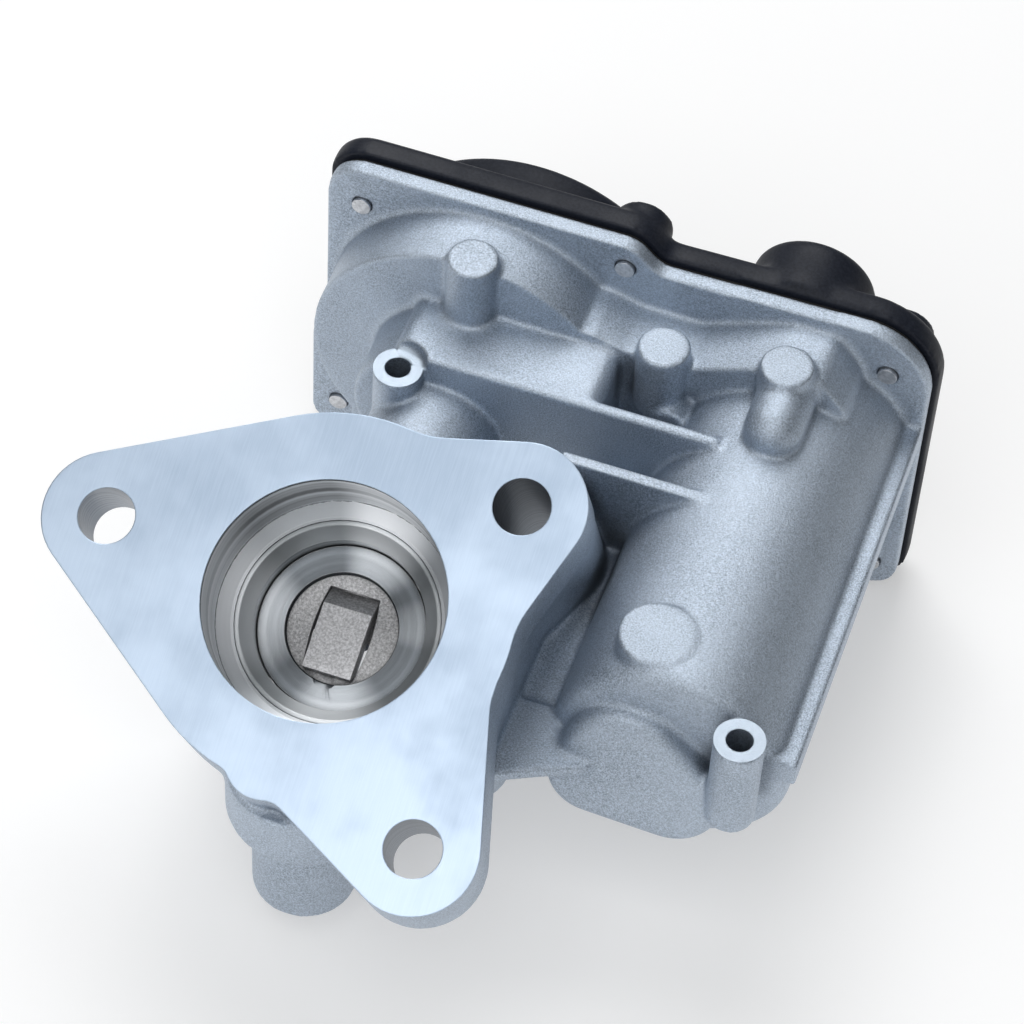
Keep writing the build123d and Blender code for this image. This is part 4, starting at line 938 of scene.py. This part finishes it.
@dataclass
class CastHousing:
    """The aluminium casting: soft where it was cast, crisp where it was cut.

    All measures but the pitch are in millimetres. A reach is a distance from an axis, within
    which the skin is kept crisp or is sunk under the exact faces. Heights are over the flange
    face, levels are along Z, and ways are along Y.
    """

    pitch: float = 0.4 * MM
    cast_passes: float = 14.0
    cut_passes: float = 5.0
    plate_passes: float = 7.0
    pad_passes: float = 6.0
    rim: float = 0.9
    sink: float = 0.14

    face_heights: tuple[float, float] = (-1.3, -0.5)
    face_sink_heights: tuple[float, float] = (-1.3, -0.8)
    bore_reach: float = 19.8
    seat_reach: float = 17.0
    duct_reach: float = 15.3
    bore_floor: float = -16.0
    seat_floor: float = -23.5
    outlet_end: float = -45.4
    step_reach: float = 15.8
    step_height: float = -15.4
    bolt_reach: float = 5.0
    post_reach: float = 5.0
    post_level: float = -5.8
    post_sink_reach: float = 4.6
    post_sink_level: float = -5.5
    thread_reach: float = 2.6
    thread_level: float = -14.0
    lug_axis: tuple[float, float] = (3.2, -16.0)
    lug_reach: float = 4.0
    lug_level: float = -33.0
    shaft_reach: float = 12.0
    shaft_start: float = 15.0
    motor_reach: float = 16.9
    motor_ways: tuple[float, float] = (6.0, 68.5)
    case_centre: tuple[float, float] = (28.0, -24.0)
    case_ways: tuple[float, float] = (67.4, 78.9)
    plate_ways: tuple[float, float] = (76.3, 77.0)
    pad_axis: tuple[float, float] = (49.0, 13.5)
    pad_reach: float = 7.4
    pad_level: float = -6.0

    def passes_at(self, points: np.ndarray, normals: np.ndarray) -> np.ndarray:
        """Number of smoothing passes at each place.

        Args:
            points: places in millimetres, one per row.
            normals: the skin's normals there.

        Returns:
            Passes, few at machined places and in the inner spaces, many on the cast skin.
        """
        x, y, z = points.T
        height, aside = from_duct(points)
        post = from_posts(points)
        shaft_z, motor_x, motor_z = SHAFT_AXIS[2] / MM, MOTOR_AXIS[0] / MM, MOTOR_AXIS[2] / MM
        lug = np.hypot(x - self.lug_axis[0], y - self.lug_axis[1])
        shaft, motor = np.hypot(x, z - shaft_z), np.hypot(x - motor_x, z - motor_z)
        seat_or_duct = np.where(height > self.seat_floor, self.seat_reach, self.duct_reach)
        bore_wall = np.where(height > self.bore_floor, self.bore_reach, seat_or_duct)
        to_shaft = normals[:, 0] * x + normals[:, 2] * (z - shaft_z) < 0.0
        case_x, case_z = self.case_centre
        inner = (normals[:, 0] * (x - case_x) + normals[:, 2] * (z - case_z) < 0.0) | (normals[:, 1] > 0.5)
        cut = any_of(
            smooth_step(height, *self.face_heights),
            (aside < bore_wall) | (from_bolts(points) < self.bolt_reach),
            (post < self.post_reach) & (z > self.post_level),
            (post < self.thread_reach) & (z > self.thread_level),
            (lug < self.lug_reach) & (z < self.lug_level),
            height < self.outlet_end,
            (shaft < self.shaft_reach) & (y > self.shaft_start) & to_shaft,
            (motor < self.motor_reach) & (y > self.motor_ways[0]) & (y < self.motor_ways[1]),
            (y > self.case_ways[0]) & (y < self.case_ways[1]) & inner,
        )
        on_plate = smooth_step(y, *self.plate_ways)
        passes = self.cast_passes + (self.plate_passes - self.cast_passes) * on_plate
        pad = np.hypot(x - self.pad_axis[0], y - self.pad_axis[1]) < self.pad_reach
        passes = np.where(pad & (z > self.pad_level), self.pad_passes, passes)
        return passes + (self.cut_passes - passes) * cut

    def sink_at(self, points: np.ndarray) -> np.ndarray:
        """How far the skin lies under the exact cut faces.

        Args:
            points: places in millimetres, one per row.

        Returns:
            Depths in millimetres, none where no cut face covers the skin.
        """
        height, aside = from_duct(points)
        post, z = from_posts(points), points[:, 2]
        under = any_of(
            smooth_step(height, *self.face_sink_heights),
            from_bolts(points) < self.bolt_reach,
            (aside < self.bore_reach) & (aside > self.step_reach) & (height > self.step_height),
            (post < self.post_sink_reach) & (z > self.post_sink_level),
            (post < self.thread_reach) & (z > self.thread_level),
        )
        return self.sink * under

    def flat_cuts(self, points: np.ndarray) -> np.ndarray:
        """Which places lie on the flange face, its rim, the bolt holes and the posts' ends.

        The limits are the true radii and ends, with a few hundredths of slack.

        Args:
            points: places in millimetres, one per row.

        Returns:
            True where a place is on one of them.
        """
        height, aside = from_duct(points)
        post, z = from_posts(points), points[:, 2]
        face = (height > -self.rim - 0.01) & (aside > 18.97)
        hole = from_bolts(points) < 4.53
        post_end = (post < 4.05) & (z > -5.02)
        thread = (post < 2.13) & (z > -13.1)
        return face | hole | post_end | thread

    def bore_cuts(self, points: np.ndarray) -> np.ndarray:
        """Which places lie on the bore's wall and on the step down to the sleeve."""
        height, aside = from_duct(points)
        return (aside < 19.03) & (aside > 15.9) & (height > -15.0)

    def cut_faces(self, name: str, finish: str, on_cut: PlaceTest, finishes: FinishRack) -> None:
        """Copy the exact cut faces of the casting as a piece of their own.

        Args:
            name: the piece's name.
            finish: its finish.
            on_cut: tells which places lie on the cut faces.
            finishes: the finishes.
        """
        piece = merged_copy("valve_housing", name)
        shape = bmesh.new()
        shape.from_mesh(piece.data)
        everything = [*shape.verts, *shape.edges, *shape.faces]
        rim_end = [-self.rim * MM * part for part in NORMAL]
        bmesh.ops.bisect_plane(shape, geom=everything, plane_co=rim_end, plane_no=NORMAL)
        shape.verts.index_update()
        inside = on_cut(np.array([vert.co[:] for vert in shape.verts]) / MM)
        spare = [face for face in shape.faces if not all(inside[vert.index] for vert in face.verts)]
        bmesh.ops.delete(shape, geom=spare, context="FACES")
        shape.to_mesh(piece.data)
        shape.free()
        finishes.dress(piece, finish)
        hand_over(piece, Body.HOUSING, "cast_aluminium", "valve_housing")

    def build(self, finishes: FinishRack) -> None:
        """Make the casting's skin and its cut faces, and dress them.

        Args:
            finishes: the finishes.
        """
        node, name = "valve_housing", "housing_casting"
        skin = SoftenedSkin(node, name, self.pitch, self.passes_at, self.sink_at).build()
        finishes.dress(skin, "cast aluminium")
        hand_over(skin, Body.HOUSING, "cast_aluminium", node)
        self.cut_faces("flange_faces", "machined aluminium", self.flat_cuts, finishes)
        self.cut_faces("bore_faces", "turned aluminium", self.bore_cuts, finishes)


@dataclass
class SleeveAndFlap:
    """Steel sleeve in the bore, and the disc, ring and shaft that turn in it."""

    sleeve_outer: float = 16.3
    sleeve_bore: float = 13.6
    sleeve_lead: float = 15.4
    sleeve_top: float = 14.8
    lead_end: float = 17.0
    sleeve_end: float = 23.0
    lip: float = 0.25
    around: int = 192
    smooth_turn: float = radians(32.0)

    def profile(self) -> np.ndarray:
        """Closed profile of the sleeve, its top corners rounded.

        Each rounded corner is a quarter circle of the lip radius, sampled at even angles.

        Returns:
            Rows of radius and depth in millimetres.
        """
        turn = np.linspace(0.0, pi / 2, 5)
        across, down = self.lip * np.cos(turn), self.lip * np.sin(turn)
        lip_end = self.sleeve_top + self.lip
        outer = np.stack((self.sleeve_outer - self.lip + across, lip_end - down), axis=1)
        inner = np.stack((self.sleeve_lead + self.lip - down, lip_end - across), axis=1)
        wall = np.array([
            (self.sleeve_lead, lip_end),
            (self.sleeve_bore, self.lead_end),
            (self.sleeve_bore, self.sleeve_end),
            (self.sleeve_outer, self.sleeve_end),
        ])
        return np.concatenate((outer, inner[:-1], wall))

    def sleeve_mesh(self) -> bpy.types.Mesh:
        """Turn the profile round the duct axis.

        Point (i, j) is the profile's point j at the angle i: radius times (cosine along X plus
        sine along the flange's slope) minus depth times the flange normal.

        Returns:
            The closed mesh.
        """
        profile = self.profile() * MM
        angle = np.linspace(0.0, 2 * pi, self.around, endpoint=False)[:, None, None]
        radius, depth = profile[None, :, 0:1], profile[None, :, 1:2]
        spoke = np.cos(angle) * np.array([1.0, 0.0, 0.0]) + np.sin(angle) * np.array(ACROSS)
        points = radius * spoke - depth * np.array(NORMAL)
        rows, columns = points.shape[:2]
        here = np.arange(rows * columns).reshape(rows, columns)
        right, down = np.roll(here, -1, axis=0), np.roll(here, -1, axis=1)
        quads = np.stack((here, down, np.roll(right, -1, axis=1), right), axis=-1).reshape(-1, 4)
        mesh = bpy.data.meshes.new("sleeve")
        mesh.from_pydata(points.reshape(-1, 3), [], quads)
        mesh.update()
        return mesh

    def build(self, finishes: FinishRack) -> None:
        """Make and dress the sleeve, disc, ring and shaft.

        Args:
            finishes: the finishes.
        """
        sleeve = link_mesh("sleeve_ring", self.sleeve_mesh())
        shape = bmesh.new()
        shape.from_mesh(sleeve.data)
        bmesh.ops.recalc_face_normals(shape, faces=shape.faces)
        for edge in shape.edges:
            edge.smooth = edge.calc_face_angle(pi) < self.smooth_turn
        for face in shape.faces:
            face.smooth = True
        shape.to_mesh(sleeve.data)
        shape.free()
        finishes.dress(sleeve, "sleeve steel")
        hand_over(sleeve, Body.HOUSING, "machined_steel", "seat_sleeve")
        for node, name, finish, slot in (
            ("flap_disc", "disc_plate", "disc steel", "disc_steel"),
            ("flap_seal_ring", "disc_ring", "sleeve steel", "machined_steel"),
            ("flap_shaft", "shaft_with_tang", "tang steel", "disc_steel"),
        ):
            piece = merged_copy(node, name)
            finishes.dress(piece, finish)
            hand_over(piece, Body.FLAP, slot, node)


@dataclass
class CoverSet:
    """Black cover with its soft moulded edges, and its screws."""

    pitch: float = 0.5 * MM
    rim_passes: float = 9.0
    inner_passes: float = 1.0
    inner_lean: float = -0.6
    triangles: int = 120_000

    def passes_at(self, points: np.ndarray, normals: np.ndarray) -> np.ndarray:
        """Number of smoothing passes, more on the outside than towards the gear case.

        Args:
            points: places in millimetres, one per row; not used.
            normals: the skin's normals there.

        Returns:
            Passes at each place.
        """
        return np.where(normals[:, 1] > self.inner_lean, self.rim_passes, self.inner_passes)

    def sink_at(self, points: np.ndarray) -> np.ndarray:
        """No place of the cover is sunk."""
        return np.zeros(len(points))

    def build(self, finishes: FinishRack) -> None:
        """Make and dress the cover and the screws.

        Args:
            finishes: the finishes.
        """
        skin = SoftenedSkin(
            "gear_cover", "cover_shell", self.pitch, self.passes_at, self.sink_at, self.triangles
        )
        cover = skin.build()
        finishes.dress(cover, "cover plastic")
        hand_over(cover, Body.HOUSING, "cover_plastic", "gear_cover")
        screws = merged_copy("cover_screws", "cover_screw_set")
        finishes.dress(screws, "plated steel")
        hand_over(screws, Body.HOUSING, "plated_steel", "cover_screws")


@dataclass
class InnerWorks:
    """Solids that keep their shape and get a finish: train, motor, bearings, board."""

    finish_of: dict[str, str] = field(default_factory=lambda: {
        "shaft_front_bush": "bronze",
        "shaft_rear_bush": "bronze",
        "shaft_seal": "rubber",
        "output_gear": "gear plastic",
        "return_spring": "spring steel",
        "sensor_magnet": "ferrite",
        "intermediate_gear": "gear plastic",
        "intermediate_pin": "plated steel",
        "motor_pinion": "bronze",
        "motor_shaft": "plated steel",
        "motor_case": "plated steel",
        "motor_front_bush": "bronze",
        "motor_magnets": "ferrite",
        "armature_core": "plated steel",
        "armature_windings": "copper",
        "commutator": "copper",
        "motor_brushes": "ferrite",
        "brush_carrier": "gear plastic",
        "motor_rear_bush": "bronze",
        "motor_mount_plate": "plated steel",
        "motor_screws": "plated steel",
        "cover_gasket": "rubber",
        "connector_terminals": "tin",
        "sensor_board": "board laminate",
    })

    def build(self, finishes: FinishRack) -> None:
        """Dress each solid.

        Args:
            finishes: the finishes.
        """
        for node, finish in self.finish_of.items():
            finishes.dress(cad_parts[node], finish)
            LOG.info("%s: %s", node, finish)


@dataclass(frozen=True)
class SoftLamp:
    """Square soft lamp: its centre, its side, and its glow, where 1 looks white."""

    name: str
    place: Point
    side: float
    glow: float


@dataclass
class Studio:
    """Pale floor, soft lamps and the photograph's camera."""

    floor_z: float
    camera_place: Point = (0.12926, -0.35, 0.50109)
    camera_turn: Point = (37.9373, -2.3691, 19.0657)
    lens: float = 144.77
    sensor: float = 36.0
    sight: tuple[float, float] = (0.01, 20.0)
    aim: Point = (0.02, 0.03, -0.02)
    lamps: tuple[SoftLamp, ...] = (
        SoftLamp("key", (0.05, -0.55, 1.0), 0.9, 2.3),
        SoftLamp("back", (-0.26, 0.66, 0.94), 0.8, 4.6),
        SoftLamp("front", (-0.35, -1.0, 0.45), 0.7, 1.6),
    )
    sky: Colour = (0.86, 0.93, 1.0)
    sky_glow: float = 0.08
    floor_side: float = 24.0
    floor_glow: float = 0.42
    floor_dark: Colour = (0.62, 0.62, 0.62)
    floor_light: Colour = (0.66, 0.66, 0.66)

    def build(self) -> None:
        """Make the floor, the lamps, the world and the camera."""
        self._floor()
        for lamp in self.lamps:
            self._lamp(lamp)
        self._world()
        self._camera()

    def _floor(self) -> None:
        """Square floor under the part, white, with its shadow kept."""
        side = self.floor_side / 2
        corners = [(x * side, y * side, self.floor_z) for x, y in ((-1, -1), (1, -1), (1, 1), (-1, 1))]
        mesh = bpy.data.meshes.new("floor")
        mesh.from_pydata(corners, [], [(0, 1, 2, 3)])
        floor = link_mesh("floor", mesh)
        material = bpy.data.materials.new("floor paper")
        material.use_nodes = True
        material.node_tree.nodes.clear()
        make = NodeSketch(material.node_tree)
        paper = make.node("BsdfDiffuse")
        tone = make.noise(make.place(), 4.0)
        make.feed(paper.inputs["Color"], make.mix(tone, self.floor_dark, self.floor_light))
        glow = make.node("Emission")
        rays = make.node("LightPath").outputs
        seen = make.largest(rays["Is Camera Ray"], rays["Is Glossy Ray"], rays["Is Transmission Ray"])
        make.feed(glow.inputs["Strength"], make.product(seen, self.floor_glow))
        both = make.fed(make.node("AddShader"), (0, 1), (paper.outputs[0], glow.outputs[0]))
        make.feed(make.node("OutputMaterial").inputs["Surface"], both.outputs[0])
        mesh.materials.append(material)

    def _lamp(self, lamp: SoftLamp) -> None:
        """Hang a lamp and aim it at the part.

        Args:
            lamp: its name, centre, side and glow.
        """
        light = bpy.data.lights.new(lamp.name, "AREA")
        light.shape = "SQUARE"
        light.size = lamp.side
        light.energy = lamp.glow * pi * lamp.side * lamp.side
        hung = bpy.data.objects.new(lamp.name, light)
        hung.location = lamp.place
        way = Vector(self.aim) - Vector(lamp.place)
        hung.rotation_euler = way.to_track_quat("-Z", "Y").to_euler()
        bpy.context.scene.collection.objects.link(hung)

    def _world(self) -> None:
        """Even, dim and slightly blue light from all round."""
        world = bpy.data.worlds.new("studio")
        bpy.context.scene.world = world
        world.use_nodes = True
        world.node_tree.nodes.clear()
        make = NodeSketch(world.node_tree)
        ambient = make.node("Background")
        ambient.inputs["Color"].default_value = (*self.sky, 1.0)
        ambient.inputs["Strength"].default_value = self.sky_glow
        make.feed(make.node("OutputWorld").inputs["Surface"], ambient.outputs[0])

    def _camera(self) -> None:
        """Camera of the photograph."""
        data = bpy.data.cameras.new("camera")
        data.sensor_width = self.sensor
        data.lens = self.lens
        data.clip_start, data.clip_end = self.sight
        camera = bpy.data.objects.new("camera", data)
        camera.location = self.camera_place
        camera.rotation_euler = Euler([radians(angle) for angle in self.camera_turn], "XYZ")
        bpy.context.scene.collection.objects.link(camera)
        bpy.context.scene.camera = camera


def main() -> None:
    """Build the valve's looks and its studio, and report each piece."""
    logging.basicConfig(level=logging.INFO, format="%(name)s: %(message)s")
    bpy.context.scene.view_settings.view_transform = "Standard"
    Studio(floor_z=CAD_BOX[0][2] - 0.2 * MM).build()
    finishes = FinishRack()
    for assembly in (CastHousing(), SleeveAndFlap(), CoverSet(), InnerWorks()):
        assembly.build(finishes)
        LOG.info("%s done", type(assembly).__name__)
    bpy.context.view_layer.update()


if __name__ == "__main__":
    main()
